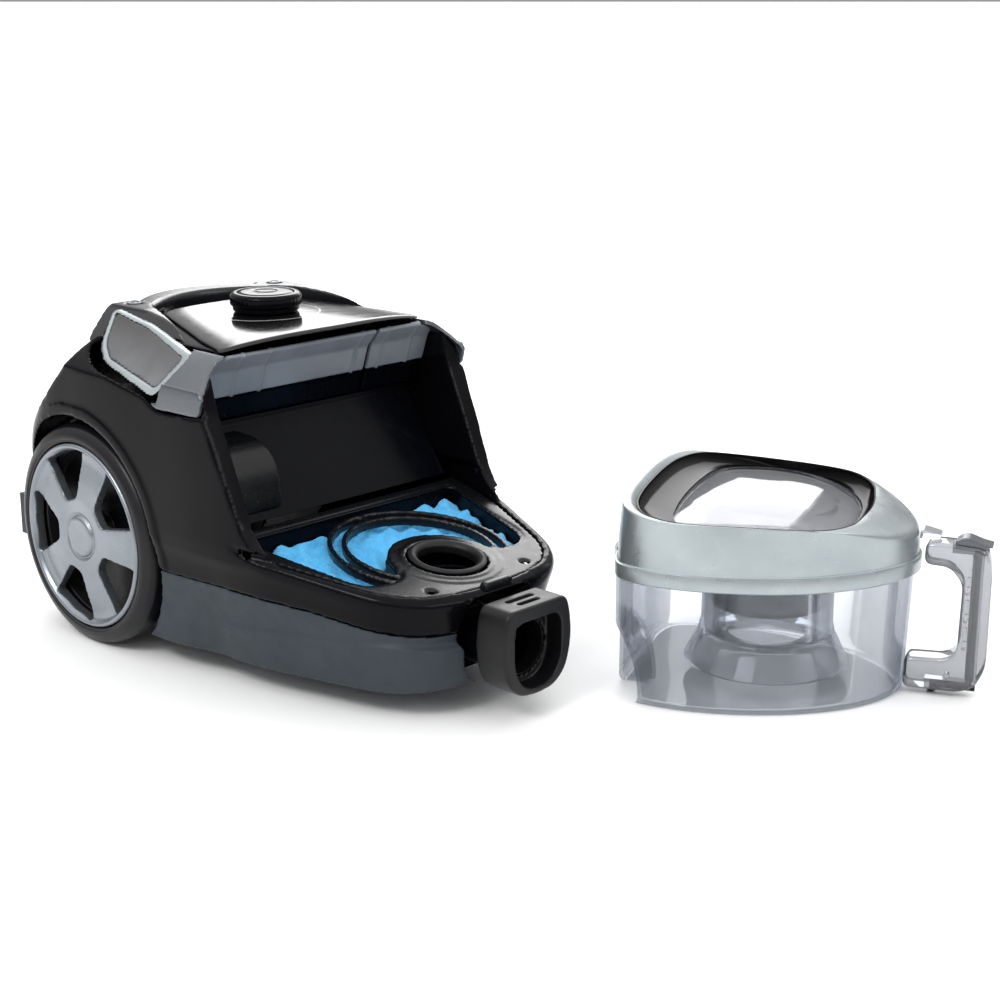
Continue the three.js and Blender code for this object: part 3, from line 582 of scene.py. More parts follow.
def side_slice(points, reach=150, round_by=0.0):
    outline = fillet(points, round_by) if round_by else points
    return across(outline, -reach, reach)


def wheel_wells(extra):
    well = rod(ARCH_R + extra, (WHEEL_IN - 4 - extra, 0, WHEEL_R), (170, 0, WHEEL_R), 96)
    return [well, mirrored(well)]


def roof_layer(top, bottom, v0, v1, reach=160):
    x = np.linspace(-reach, reach, 81)
    z = roof_z(np.clip(x, -150, 150))
    return along(np.r_[np.c_[x, z - bottom], np.c_[x, z - top][::-1]], v0, v1)


def deck_layer(top, bottom, v0, v1, reach=150):
    return across([(v0, deck_z(v0) - bottom), (v1, deck_z(v1) - bottom), (v1, deck_z(v1) - top),
                   (v0, deck_z(v0) - top)], -reach, reach)


def connector_loop(grow):
    half = [(0, 21), (18, 23), (30, 33), (35, 48), (36.5, 62), (35, 78), (31, 91)]
    loop = half + [(-x, z) for x, z in half[:0:-1]]
    return offset(fillet(loop, 7, 6), grow)


def connector_room():
    return along(connector_loop(GAP), 290, 420)


def rim_bevel():
    """Swept cutter that rolls the outer edge of the deck over, fading out towards the cheeks."""
    loop = plan_loop(BODY_PLAN, 240)
    run = np.roll(loop, -1, 0) - np.roll(loop, 1, 0)
    normal = np.c_[run[:, 1], -run[:, 0]] / np.linalg.norm(run, axis=1)[:, None]
    order = [i for i in range(len(loop)) if loop[i, 1] < -188]
    start = next(k for k, i in enumerate(order) if (i - 1) % len(loop) not in order)
    order = order[start:] + order[:start]
    bend = np.linspace(0, math.pi / 2, 8)
    rings = []
    for i in order:
        v = -loop[i, 1]
        radius = 7 * float(ease(v, 190, 226)) + 0.6
        section = [(6, 6), (-radius, 6)]
        section += [(-radius + radius * math.sin(t), -radius * 1.15 * (1 - math.cos(t))) for t in bend]
        section += [(6, -radius * 1.15)]
        rings.append([(*(loop[i] + normal[i] * out), deck_z(v) + up) for out, up in section])
    return warp(stack(np.array(rings)), body_form)


def swoosh(p):
    """Lower part of the pan's sides stands proud under a curved line that ends ahead of the wheels."""
    v, z = -p[:, 1], p[:, 2]
    line = np.interp(v, [140, 155, 167, 209, 255, 311, 340, 360], [24, 38, 50, 54, 57, 59, 53, 52])
    raised = ease(line + 3 - z, -3, 3) * ease(v, 140, 168)
    out = p.copy()
    spread = 1 + 0.03 * raised[:, None] * np.c_[np.ones(len(p)), ease(v, 250, 345)]
    out[:, :2] *= spread
    return out


def floor_pan():
    side = SEAM[::-1] + [(-140, 60), (-124, 40), (-100, TRAY_BOTTOM), (310, TRAY_BOTTOM), (400, TRAY_BOTTOM + 8)]
    form = warp(upright(plan_loop(BODY_PLAN, 220), 10, 95, 60), lambda p: swoosh(body_form(p)))
    inner = warp(upright(plan_loop(BODY_PLAN, 160, -WALL), TRAY_BOTTOM + WALL, 105, 12), body_form)
    outer = cut(meet(form, across(fillet(side, 5), -150, 150)), *wheel_wells(0))
    dome = rod(33, (0, 225, TRAY_BOTTOM + 1), (0, 225, 50))
    dome_room = rod(30, (0, 225, 0), (0, 225, 47))
    pivot = rod(6, (0, 225, 0), (0, 225, 60))
    slats = []
    for k in range(3):
        slat = across(fillet([(64 + 6.5 * k, 16), (68 + 6.5 * k, 16), (76 + 6.5 * k, 52), (72 + 6.5 * k, 52)], 1), 104, 118)
        slats += [slat, mirrored(slat)]
    shell = join(cut(outer, cut(inner, *wheel_wells(WALL))), dome, *slats)
    shell = cut(shell, dome_room, pivot, connector_room(), *ground_room())
    place("floor_pan", moulded(shell, 1.5), "tray", "machine", "chassis_tray")


def ground_room():
    """Keeps the slats off the tyres and inside the pan's flat underside."""
    tyre_room = rod(WHEEL_R + 3, (106, 0, WHEEL_R), (170, 0, WHEEL_R), 96)
    return [tyre_room, mirrored(tyre_room), block(-150, 150, 40, 110, 0, TRAY_BOTTOM)]


CHEEK_EDGE = [(240, deck_z(240)), (222, 119.5), (211, 126), (202, 139), (184, 181), (167, 219), (162, 236), (156, 262)]
BAY = [(157, deck_z(157) + 1.5), (190, deck_z(190) + 0.1), (420, deck_z(420) + 0.1), (420, 300), (150, 300),
       (150, 262.5), (136, 246), (106, 238), (103, 206), (109.5, 198)]


def shoulder(top, bottom, v0=-40, v1=215):
    """Rounded shoulder on the left: a shell between two depths below its outer face."""
    x = np.linspace(100, 136, 19)
    outer = np.r_[np.c_[x, roof_z(x)], [(SIDE_X - 0.9, 238), (SIDE_X, 231), (SIDE_X + 0.4, 224), (SIDE_X + 0.5, 214),
                                        (SIDE_X + 0.5, 196)]]
    bend = np.minimum(1, np.arange(len(outer)) / 20)[:, None]

    def face(depth):
        return outer - depth * np.c_[bend, 1 - bend ** 2]

    return along(np.r_[face(bottom), face(top)[::-1]], v0, v1)


def pod_layer(top, bottom, v0=-40, v1=215):
    ends = np.array([(138, 217), (88, 277)], float)

    def face(depth):
        return ends - depth * np.array((0.77, 0.64))

    return along(np.r_[face(bottom), face(top)[::-1]], v0, v1)


def side_slab(loop, factor=1.0, round_by=9.0, x0=60, x1=160):
    return across(fillet(scaled(loop, factor), round_by), x0, x1)


def upper_shell():
    side = [(v, z + GAP) for v, z in SEAM] + [(420, deck_z(420))] + CHEEK_EDGE
    side += [(156, 290), (18, 290), (8, 262)] + REAR_SLOPE + [(-140, 100)]
    inner_side = [(-137, 40), (430, 40), (430, deck_z(430) - 4), (212, deck_z(212) - 4), (199, 128), (179, 181),
                  (162, 219), (157, 236), (150, 262), (150, 290), (22, 290), (11, 258)]
    inner_side += [(v + 2, z - 4) for v, z in REAR_SLOPE] + [(-137, 100)]
    outer = meet(body_prism(0, 50, 290), across(fillet(side, 6), -150, 150), roof_layer(0, 240, -200, 430))
    lip = meet(body_prism(1.2, 50, 200), cut(rod(ARCH_R + 9, (90, 0, WHEEL_R), (150, 0, WHEEL_R), 96),
                                             block(80, 160, -130, 130, 0, 86)))
    outer = cut(join(outer, lip, mirrored(lip)), *wheel_wells(0))
    bay_keep = across(offset(BAY, WALL), -BAY_X - WALL, BAY_X + WALL)
    inner = cut(meet(body_prism(-WALL, 40, 290), across(inner_side, -150, 150), roof_layer(WALL, 250, -200, 430)),
                *wheel_wells(WALL), bay_keep)
    trim_room = meet(shoulder(-20, 4 + GAP), across(
        fillet([(98, 222), (112, 215), (166, 217), (220, 240), (220, 300), (98, 300)], 4), 90, 150))
    deck_room = meet(body_prism(-DECK_INSET, 60, 140), block(-150, 150, 150, 400, 60, 140))
    window_room = meet(pod_layer(-60, 3.5 + GAP), side_slab(EAR, 1.03))
    slots = [block(-45, 45, -150, -100, 96 + 8 * i, 100 + 8 * i) for i in range(5)]
    shell = cut(
        outer, inner, bay_room(), deck_room, connector_room(), trim_room, mirrored(trim_room),
        window_room, mirrored(window_room),
        rod(8, (0, KNOB_V, 200), (0, KNOB_V, 300)), rod(9, (72, -150, 112), (72, -90, 112)),
        rod(5.35, (-150, 0, WHEEL_R), (150, 0, WHEEL_R)), rim_bevel(), *slots)
    place("body_shell", moulded(shell, 1.6, 8), "gloss", "machine", "upper_body")


def bay_room():
    """Bay in plan with rounded rear corners, cut along the leaning rear wall."""
    plan = [(-BAY_X, -90), (-BAY_X, -420), (BAY_X, -420), (BAY_X, -90)]
    return meet(across(BAY, -BAY_X, BAY_X), upright(fillet(plan, 2), 60, 320))


def deck():
    plate = meet(body_prism(-DECK_INSET - GAP, 60, 140), deck_layer(1, 4, 166, 400))
    opening = upright(fillet(FILTER_OPENING, 7), 50, 150)
    lip_well = meet(upright(fillet(offset(FILTER_OPENING, 5), 9), 50, 150), deck_layer(-5, 2.2, 150, 400))

    def rib(radius, depth0, depth1):
        return meet(rod(radius, (0, 257, 60), (0, 257, 140), 96), deck_layer(depth0, depth1, 160, 297))

    def ring(outside, inside, depth0, depth1):
        return cut(rib(outside, depth0, depth1), rod(inside, (0, 257, 50), (0, 257, 150), 96))

    spokes = []
    for angle in (-38, 90, 218):
        spoke = upright([(59, -2.5), (70, -2.5), (70, 2.5), (59, 2.5)], 50, 150)
        spokes.append(meet(shifted(turned(spoke, "Z", angle), v=257), deck_layer(2, 8, 160, 297)))
    inside = upright(offset(FILTER_OPENING, -0.5), 50, 150)
    ribs = [meet(part, inside) for part in (ring(72, 68, 1.4, 9), ring(61, 57, 1.4, 9), *spokes)]
    tabs = [part for part in (ring(72, 68, 2, 3.9), ring(61, 57, 2, 3.9))]
    boss = meet(rod(44, (0, PORT_V - 2, 60), (0, PORT_V - 2, 140), 96), deck_layer(0.2, 3.8, 200, 400))
    collar = cut(meet(rod(36, (0, PORT_V, 60), (0, PORT_V, 140), 96), deck_layer(-0.6, 3.8, 200, 400)))
    tab = along(fillet([(-14.5, 93), (-14.5, 99.5), (-13, 101), (13, 101), (14.5, 99.5), (14.5, 93)], 1.2), 335, 342)
    shape_ = join(cut(plate, lip_well, opening), *ribs, *[meet(t, plate_zone()) for t in tabs], boss, collar, tab)
    holes = [rod(3, (x, 320, 80), (x, 320, 130)) for x in (50, -50)]
    countersinks = [rod(5, (x, 320, deck_z(320) - 2.2), (x, 320, 130)) for x in (50, -50)]
    port = rod(31 + GAP, (0, PORT_V, 80), (0, PORT_V, 130), 96)
    shape_ = cut(shape_, port, connector_room(), *holes, *countersinks)
    place("deck_rim", moulded(shape_, 1.1, 5), "deck", "machine", "deck_plate")


def plate_zone():
    return body_prism(-DECK_INSET - GAP - 4, 60, 140)


def foam():
    """Wavy foam block: crests run across, a little uneven, with the front half in the same waves."""
    inside = meet(upright(fillet(offset(FILTER_OPENING, -1.5), 6), 30, 150), deck_layer(-20, 36, 165, 320))

    def crest(v, x):
        phase = 2 * math.pi * (v + 0.12 * x) / 25
        swell = np.sin(phase) * np.cos(2 * math.pi * (x - 0.2 * v) / 25)
        return 4.2 * swell + 1.2 * np.sin(x / 31) + 0.7 * np.sin(v / 17 + x / 23)

    x = np.arange(-118, 119, 2.0)
    v = np.arange(160, 312, 2.0)
    grid_x, grid_v = np.meshgrid(x, v)
    z = deck_z(grid_v) - 14 + crest(grid_v, grid_x)
    top = np.c_[grid_x.ravel(), -grid_v.ravel(), z.ravel()]
    lid = np.c_[grid_x.ravel(), -grid_v.ravel(), np.full(z.size, 190.0)]
    rows, cols = grid_x.shape
    faces = []
    for base in (0, z.size):
        for i in range(rows - 1):
            for j in range(cols - 1):
                a = base + i * cols + j
                faces.append((a, a + 1, a + cols + 1, a + cols))
    edge = [i * cols for i in range(rows)] + [(rows - 1) * cols + j for j in range(1, cols)]
    edge += [i * cols + cols - 1 for i in range(rows - 2, -1, -1)] + list(range(cols - 2, 0, -1))
    for a, b in zip(edge, edge[1:] + edge[:1]):
        faces.append((a, b, b + z.size, a + z.size))
    block_above = shape(np.vstack([top, lid]), faces)
    mesh = moulded(cut(inside, block_above), 1.4, 5)
    rng = np.random.default_rng(5)
    fuzz = rng.normal(0, 0.13, len(mesh.vertices))

    def rough(p):
        out = p.copy()
        out[:, 2] += fuzz
        return out

    piece = place("foam_block", warp(mesh, rough), "foam", "machine", "foam_filter", sharp=180)


def port_gasket():
    profile = fillet([(23, -5), (26, -5), (26, -1), (30.5, 1.3), (30.5, 3), (27.4, 4.2), (24.6, 3), (23, 1)], 0.8, 4)
    ring = turned(lathe(profile, 128), "X", math.degrees(math.atan(DECK_SLOPE)))
    place("port_gasket", shifted(ring, 0, PORT_V, PORT_Z - 1), "rubber", "machine", "inlet_gasket", sharp=50)


def air_duct():
    def form(grow):
        elbow = shifted(lathe([(21 + grow) * np.array((math.sin(t), -math.cos(t))) for t in np.linspace(0, math.pi, 24)],
                              72, False), 0, PORT_V, 55)
        return join(rod(21 + grow, (0, PORT_V, 55), (0, PORT_V, 96 + grow), 72),
                    rod(21 + grow, (0, PORT_V, 55), (0, 352 + grow, 55), 72), elbow)

    pipe = cut(form(2.5), form(0), block(-40, 40, 250, 330, 93, 130), block(-40, 40, 352, 380, 20, 90))
    place("air_duct", moulded(pipe, 1.2, 3), "bay", "machine", "inlet_duct")


def connector():
    shell = along(connector_loop(0), 352 + GAP, CONNECTOR_FRONT)
    front = along(connector_loop(-1.3), CONNECTOR_FRONT - 1.4, CONNECTOR_FRONT + 3)
    rounding = cut(along(connector_loop(4), CONNECTOR_FRONT - 1.4, CONNECTOR_FRONT + 4), front)
    half = [(0, 27), (9, 27.5), (18, 33), (23, 42), (25, 50), (25, 72), (21, 79), (17, 80.5)]
    mouth_loop = fillet(half + [(-x, z) for x, z in half[:0:-1]], 4, 5)
    mouth = along(mouth_loop, 366, 400)
    bore = rod(21, (0, 340, 55), (0, 400, 55), 96)
    groove = cut(rod(24, (0, 362, 55), (0, 366.5, 55), 96), rod(22.4, (0, 355, 55), (0, 370, 55), 96))
    slots = [block(-14, 14, 359.5, 364, 87.5, 100), block(-11, 11, 369, 373, 87.5, 100)]
    notch = block(-24, -8, 364, 390, 74, 78.5)
    seam = cut(along(connector_loop(2), 330, 383), along(connector_loop(-0.35), 329, 384))
    seam = meet(seam, block(-60, 60, 320, 400, 73.6, 74.2))
    mesh = cut(shell, rounding, mouth, bore, groove, notch, seam, *slots)
    place("hose_socket", moulded(mesh, 0.8, 4), "satin", "machine", "hose_connector")


def rear_wall():
    """Leaning wall of the bay, with a wide round relief and a lip along its top edge."""
    panel = across([(160.5, deck_z(161) + 1.5), (164, deck_z(164) + 1.5), (113.5, 198), (110, 198)],
                   -BAY_X + GAP, BAY_X - GAP)
    relief = rod(141, (18, 100, 44), (18, 200, 44), 160)
    skin = across([(163.3, deck_z(161)), (170, deck_z(161)), (120, 200), (112.8, 200)], -BAY_X + 2, BAY_X - 2)
    corner = upright(fillet([(BAY_X - GAP, -100), (BAY_X - 15, -100), (BAY_X - 15, -178), (BAY_X - GAP, -178)], 1), 100, 200)
    wall = cut(panel, meet(relief, skin))
    lip = across(fillet([(111.5, 195), (116.5, 195), (116, 198), (111.5, 198)], 1), -BAY_X + GAP, BAY_X - GAP)
    place("bay_wall", moulded(join(wall, lip), 1.2, 4), "bay", "machine", "compartment_wall")
    bpy.data.meshes.remove(corner)


def duct_cover():
    front = fillet([(-117.5, 128), (-57, 128), (-56.5, 172), (-60, 184), (-70, 190), (-117.5, 190)], 7, 6)
    side = smooth_side([(100, 118), (160, 119), (160, 140), (158.5, 158), (153, 170), (144, 181), (132, 187.5),
                        (116, 190.5), (100, 191)])
    lean = across([(100, 100), (170.2, 117.4), (111.1, 202.5), (100, 202.5)], -130, 0)
    mesh = cut(meet(along(front, 100, 160), across(side, -118, -50)), lean)
    place("duct_cover", moulded(mesh, 1.1, 5), "deck", "machine", "bay_duct_cover")


def smooth_side(points):
    return fillet(points, 9, 5)


def ledge():
    """Two-tier profile of the ledge above the wall, drawn across the bay."""
    profile = [(104, 207), (110.5, 199), (118, 199), (124, 218), (136, 221), (144, 243), (155.5, 256),
               (152.5, 258), (141, 246), (133, 224), (120.5, 221), (115, 203), (111, 203), (107.5, 207)]
    steps = across(profile, -BAY_X + GAP, BAY_X - GAP)
    return steps


def step_ledges():
    edge = shoulder(-20, 4 + GAP)
    room = [edge, mirrored(edge)]
    lower = across(fillet([(104, 207), (110.5, 199), (118, 199), (124, 218), (133, 220.2), (133, 223.2), (120.5, 221),
                           (115, 203), (111, 203), (107.5, 207)], 1.2, 4), -BAY_X + GAP, BAY_X - GAP)
    pockets = [across([(112, 203), (140, 203), (140, 216.5), (116.5, 216.5)], x0, x1)
               for x0, x1 in ((-48, -12), (-2, 14))]
    shelves = [across([(112, 203), (118.6, 203), (122.6, 216.5), (116.5, 216.5)], x0 - 0.2, x1 + 0.2)
               for x0, x1 in ((-48, -12), (-2, 14))]
    slot_low = block(62, 65.5, 108, 150, 196, 224)
    recess = [meet(p, across([(119.0, 200), (126.5, 225), (140, 225), (140, 200)], -120, 120)) for p in pockets]
    low = cut(lower, *recess, slot_low, *room)
    place("ledge_lower", moulded(low, 1.0, 4), "bay", "machine", "step_ledge")
    for part in (*pockets, *shelves):
        bpy.data.meshes.remove(part)
    upper_profile = fillet([(133.4, 223), (136.4, 221.4), (144, 243), (155.5, 256), (152.5, 258), (141, 246)], 1.2, 4)
    upper = across(upper_profile, -BAY_X + GAP, BAY_X - GAP)
    ribs = []
    for x in (-84, -57, 38, 66, 98):
        ribs.append(meet(block(x - 0.7, x + 0.7, 128, 158, 220, 258), across(
            offset(fillet([(134, 223), (136.4, 221), (144, 243), (155.5, 256), (152.5, 258), (141, 246)], 1), 1.2),
            -BAY_X, BAY_X)))
    window = meet(across([(142, 239), (160, 262), (170, 262), (160, 239)], -52, 37), block(-52, 37, 140, 170, 239, 262))
    window = meet(window, across([(143.0, 236), (154.6, 262), (180, 262), (180, 236)], -60, 60))
    deep = block(40, 63, 120, 170, 234, 270)
    slot_high = block(51.5, 55, 120, 170, 214, 270)
    up = cut(join(upper, *ribs), window, slot_high, *room)
    up = cut(up, meet(deep, across([(142, 230), (160, 262), (180, 262), (180, 230)], 30, 70)))
    place("ledge_upper", moulded(up, 1.0, 4), "ledge", "machine")


def top_cover():
    front = [(x, -168 + 18 * (abs(x) / 103) ** 1.9) for x in np.linspace(-103, 103, 21)]
    side = [(99, -138), (92, -112), (57, -17), (46, -12)]
    plan = front + side + [(-x, y) for x, y in side[::-1]]
    outline = fillet(plan, 6, 5)
    count = 260
    run = np.r_[0, np.cumsum(np.linalg.norm(np.diff(np.vstack([outline, outline[:1]]), axis=0), axis=1))]
    at = np.linspace(0, run[-1], count, endpoint=False)
    closed = np.vstack([outline, outline[:1]])
    loop = np.c_[np.interp(at, run, closed[:, 0]), np.interp(at, run, closed[:, 1])]
    middle = np.array([(0.0, -92.0)])
    rings = []
    for share, drop in [(0.28, 0), (0.5, 0), (0.72, 0), (0.88, 0), (0.95, 0), (0.975, 0.05), (0.99, 0.4), (1, 1.2),
                        (1, 2.4), (0.99, PANEL_T), (0.9, PANEL_T), (0.28, PANEL_T)]:
        ring = middle + (loop - middle) * share
        z = roof_z(ring[:, 0]) + PANEL_T + GAP - drop
        rings.append(np.c_[ring, z])
    mesh = stack(rings)
    mesh = cut(mesh, rod(8, (0, KNOB_V, 200), (0, KNOB_V, 300)))
    place("top_cover", mesh, "panel", "machine", "top_panel", sharp=40)


def shoulder_trims():
    zone = fillet([(99, 224), (112, 216.5), (165, 218), (169, 232), (158, 250), (152, 275), (99, 275)], 3)
    trim = cut(meet(shoulder(0, 4), across(zone, 103.5, 150)), side_slab(POD, 1.02))
    return trim


def side_pieces():
    trim = shoulder_trims()
    rim = meet(pod_layer(-1, 3.5), cut(side_slab(EAR, round_by=6), side_slab(PANE, round_by=5)))
    window = meet(pod_layer(0, 3.5), side_slab(PANE, 0.99, 5))
    for side, flip in (("left", False), ("right", True)):
        for name, part, look, node, grain in (
                ("shoulder_trim", trim, "graphite", "side_trim", 0.9), ("window_rim", rim, "silver", "side_window_rim", 0.8),
                ("window_pane", window, "window", "side_window", 1.0)):
            mesh = mirrored(part) if flip else part.copy()
            place(f"{name}_{side}", moulded(mesh, grain, 5), look, "machine", f"{node}_{side}")


def handle():
    """Bar bowed towards the rear, running into a pod with a key at each end."""
    section = fillet([(-36, 246), (-24, 246), (-19, 250), (-16, 270), (-18, 275), (-39, 275), (-42, 271), (-42, 252)],
                     2.5, 4)
    rings = [np.array([(x, -v - 52 * (x / 84) ** 2, z) for v, z in section]) for x in np.linspace(-68, 68, 41)]
    plan = [(62, 20), (112, 20), (112, -128), (104.5, -128), (101, -112), (71, -22), (62, -8)]
    pod = cut(meet(side_slab(POD, round_by=4), upright(fillet(plan[::-1], 2.5), 200, 300)), pod_layer(-60, 3.5 + GAP))
    pocket = rod(6.5, (KEY_X, KEY_V, 266), (KEY_X, KEY_V, 300), 48)
    mesh = cut(join(stack(rings), pod, mirrored(pod)), roof_layer(-GAP, 200, -4, 215), pocket, mirrored(pocket))
    place("handle_bar", moulded(mesh, 1.0, 6), "handle", "machine", "carry_handle")


# ---------------------------------------------------------------- wheels


def on_axle(mesh):
    return shifted(turned(mesh, "Y", 90), z=WHEEL_R)


def wheel_pieces():
    tread = fillet([(RIM_R + 0.4, 109), (84, WHEEL_IN), (89, 110.5), (WHEEL_R, 117), (WHEEL_R, 128), (89.5, 134),
                    (84, 137), (80.5, 137.6), (79.6, 136.8), (78.4, 137.2), (RIM_R + 0.4, 136)], 1.6, 4)
    tyre = on_axle(lathe(tread, 160))
    disc = on_axle(lathe(fillet([(5.1, 110), (RIM_R, 110), (RIM_R, 124), (70, 124), (68, 114), (16, 114), (13, 126),
                                 (5.1, 126)], 1.2, 4), 128))
    hub_profile = [(0, 131.5), (20, 131.5), (60, 127), (RIM_R - 0.3, 126), (RIM_R - 0.3, 136.6), (75.2, 138.3), (73.5, 138.3),
                   (70.5, 134.5), (64, 134.2), (46, 137), (30, 138.6), (20, 138.2), (18.6, 136.2), (17.4, 136.2), (16.6, 138.8),
                   (14, 139.8), (0, 140)]
    cap = lathe(hub_profile, 160, False)
    gaps = []
    for i in range(5):
        gap = upright(fillet([(31, -8.2), (67.5, -27.5), (71, 0), (67.5, 27.5), (31, 8.2)], 5, 6), 118, 150)
        gaps.append(turned(gap, "Z", math.degrees(0.3) + 72 * i))
    dish = [turned(across([(-3.4, 141), (3.4, 141), (1.2, 137.4), (-1.2, 137.4)], 24, 68), "Z", 36 + math.degrees(0.3) + 72 * i)
            for i in range(0)]
    cap = moulded(on_axle(cut(cap, *gaps, *dish)), 0.9, 5)
    for side, flip in (("left", False), ("right", True)):
        body = f"wheel_{side}"
        pieces = [mirrored(m) if flip else m.copy() for m in (tyre, disc, cap)]
        place(f"wheel_tyre_{side}", pieces[0], "tyre", body, f"tyre_{side}", sharp=50)
        place(f"wheel_back_{side}", pieces[1], "satin", body, f"wheel_disc_{side}")
        place(f"wheel_cap_{side}", pieces[2], "hub", body, f"hubcap_{side}")


def caster():
    roller = turned(lathe(fillet([(2.6, -9), (12.6, -9), (15, -6), (15, 6), (12.6, 9), (2.6, 9)], 1.2), 64), "Y", 90)
    place("caster_roller_tyre", shifted(roller, 0, 215, 15), "rubber", "caster_roller", "caster_wheel")
    keep("caster_fork", "satin")
    keep("caster_pin", "steel")


# ---------------------------------------------------------------- controls


def dial():
    base = ROOF_Z + PANEL_T + GAP
    profile = fillet([(0, 0.5), (25.5, 0.5), (27, 2), (27, 5), (29, 6), (29, 13), (27, 15.5), (23.2, 16), (23, 14), (0, 14)],
                     0.9, 3, closed=False)
    segments = 240
    rings = []
    for r, h in profile:
        grip = 0.35 * np.clip((r - 26) / 2, 0, 1) * (h < 13.5)
        angle = np.linspace(0, 2 * math.pi, segments, endpoint=False)
        radius = np.maximum(r, 0.02) - grip * (0.5 + 0.5 * np.cos(angle * 40)) ** 3
        rings.append(np.c_[radius * np.cos(angle), radius * np.sin(angle), np.full(segments, h)])
    skirt = join(shifted(stack(rings), 0, KNOB_V, base), rod(5, (0, KNOB_V, 252), (0, KNOB_V, base + 2)))
    place("dial_skirt", skirt, "gloss", "knob", "suction_knob", sharp=35)
    top = fillet([(0, 14.3), (22.6, 14.3), (22.6, 15.4), (20, 16.3), (9.6, 16.8), (9.0, 16.2), (8.2, 16.2), (7.6, 16.85), (0, 17)],
                 0.5, 3, closed=False)
    place("dial_cap", shifted(lathe(top, 128, False), 0, KNOB_V, base - 0.2), "gloss", "knob", "suction_knob_cap", sharp=40)


def handle_keys():
    top = fillet([(0, 2), (5.8, 2), (5.8, 7), (5.0, 7.4), (3.9, 7.4), (3.4, 6.8), (2.8, 6.8), (2.4, 7.1), (0, 7.2)],
                 0.4, 3, closed=False)
    for x, body, node in ((-KEY_X, "power_key", "power_button"), (KEY_X, "rewind_key", "cord_rewind_button")):
        place(f"{body}_cap", shifted(lathe(top, 64, False), x, KEY_V, 269), "graphite", body, node, sharp=40)


# ---------------------------------------------------------------- container

BIN_RIM_Z = 100
CYCLONE_V = 78
CHANNEL_V = 236
BIN_PLAN = [(-27, 0), (-26, 74), (-16, 95), (20, 106), (70, 103), (120, 86), (160, 58), (183, 26), (189, 0)]
LID_PLAN = [(-28, 0), (-27, 78), (-16, 98), (22, 109), (72, 106), (124, 89), (166, 58), (189, 26), (195, 0)]
CREST_PLAN = [(-28, 0), (-26, 43.1), (-23, 69), (-15, 93.6), (-3, 103), (24, 106.6), (71, 102), (128, 88.1),
              (160, 63.2), (182, 34.5), (191, 0)]
BEZEL_PLAN = [(-18, 0), (-16.5, 43.2), (-12, 72), (-2, 94.1), (8, 101.8), (26, 105.8), (72, 101.3), (128, 87.4),
              (147, 64.3), (154, 28.8), (156, 0)]
DOME_PLAN = [(11, 0), (13, 44), (18, 75), (28, 89), (58, 99.5), (89, 97), (120, 77), (138, 48), (145, 20), (146, 0)]
CREST_TOP = [(-40, 157), (-20, 156.5), (-5, 152.5), (10, 149.5), (25, 148.2), (90, 147.8), (130, 146.5), (150, 143),
             (170, 138.5), (185, 134), (191, 130.5)]
BEZEL_TOP = [(-40, 151.5), (-8, 151), (8, 150), (25, 148.8), (90, 148.2), (130, 147), (148, 145.6), (170, 145)]
DOME_FOOT = [(0, 142.5), (60, 141.5), (100, 140), (146, 136.5)]
HANDLE_SIDE = [(197, 105), (197, 122), (212, 123), (240, 121), (245, 113), (247, 100), (247, 26), (240, 10),
               (228, 5), (186, 5), (186, 30), (216, 31), (225, 38), (226, 92), (216, 104)]
LID_MIDDLE = np.array((0.0, -75.0))
LID_POINTS = 320


def bin_taper(p):
    low = 1 - p[:, 2] / BIN_RIM_Z
    out = p.copy()
    out[:, 0] *= 1 - 0.05 * low
    out[:, 1] *= 1 - np.where(p[:, 1] < 0, 0.02, 0) * low
    return out


def bin_solid(grow, z0, z1, foot):
    """Tapered tub form, its lower edge rolled over with the given radius."""
    levels = [(z0 + foot * (1 - math.cos(t)), grow - foot * (1 - math.sin(t))) for t in np.linspace(0, math.pi / 2, 7)]
    levels += [(z, grow) for z in np.linspace(z0 + foot, z1, 14)[1:]]
    return warp(stack([np.c_[plan_loop(BIN_PLAN, 260, g), np.full(260, z)] for z, g in levels]), bin_taper)


def corner_pocket(grow):
    """Room cut into the tub's rear right corner, below the rim."""
    curve = [(-60, -2), (-1 + grow, -2), (-2 + grow, 20), (-8 + grow, 42 + grow), (-20, 60 + grow), (-60, 68 + grow)]
    return across(fillet(curve, 14, 8), -140, -50 + grow)


def dust_tub():
    outer, inner = bin_solid(0, 0, BIN_RIM_Z - 2, 5), bin_solid(-2.5, 2.5, BIN_RIM_Z + 5, 4)
    tub = cut(outer, corner_pocket(0), cut(inner, corner_pocket(2.5)))
    knuckle = across(fillet([(-36, 88), (-24, 80), (-24, 97), (-29, 108), (-36, 108)], 2.5), 30, 40)
    knuckle = cut(knuckle, bin_solid(-1, 60, 120, 1))
    tub = cut(join(tub, knuckle, mirrored(knuckle)), rod(2.4, (-60, -32, 104), (60, -32, 104), 32))
    place("dust_tub", tub, "bin", "container", "dust_bin", space=CONTAINER, sharp=38)


def by_angle(loop):
    """Resamples a loop at even angles about the lid's middle."""
    d = loop - LID_MIDDLE
    angle = np.unwrap(np.arctan2(d[:, 1], d[:, 0]))
    angle, reach = np.r_[angle, angle[:1] + 2 * math.pi], np.linalg.norm(np.vstack([d, d[:1]]), axis=1)
    at = np.linspace(-math.pi, math.pi, LID_POINTS, endpoint=False)
    at = np.where(at < angle[0], at + 2 * math.pi, at)
    reach = np.interp(at, angle, reach)
    return LID_MIDDLE + reach[:, None] * np.c_[np.cos(at), np.sin(at)]


def lid_loop(grow=0.0, plan=LID_PLAN):
    return by_angle(plan_loop(plan, 600, grow))


def height(table, y):
    v, z = zip(*table)
    return np.mean([np.interp(-y + d, v, z) for d in (-10, -5, 0, 5, 10)], axis=0)


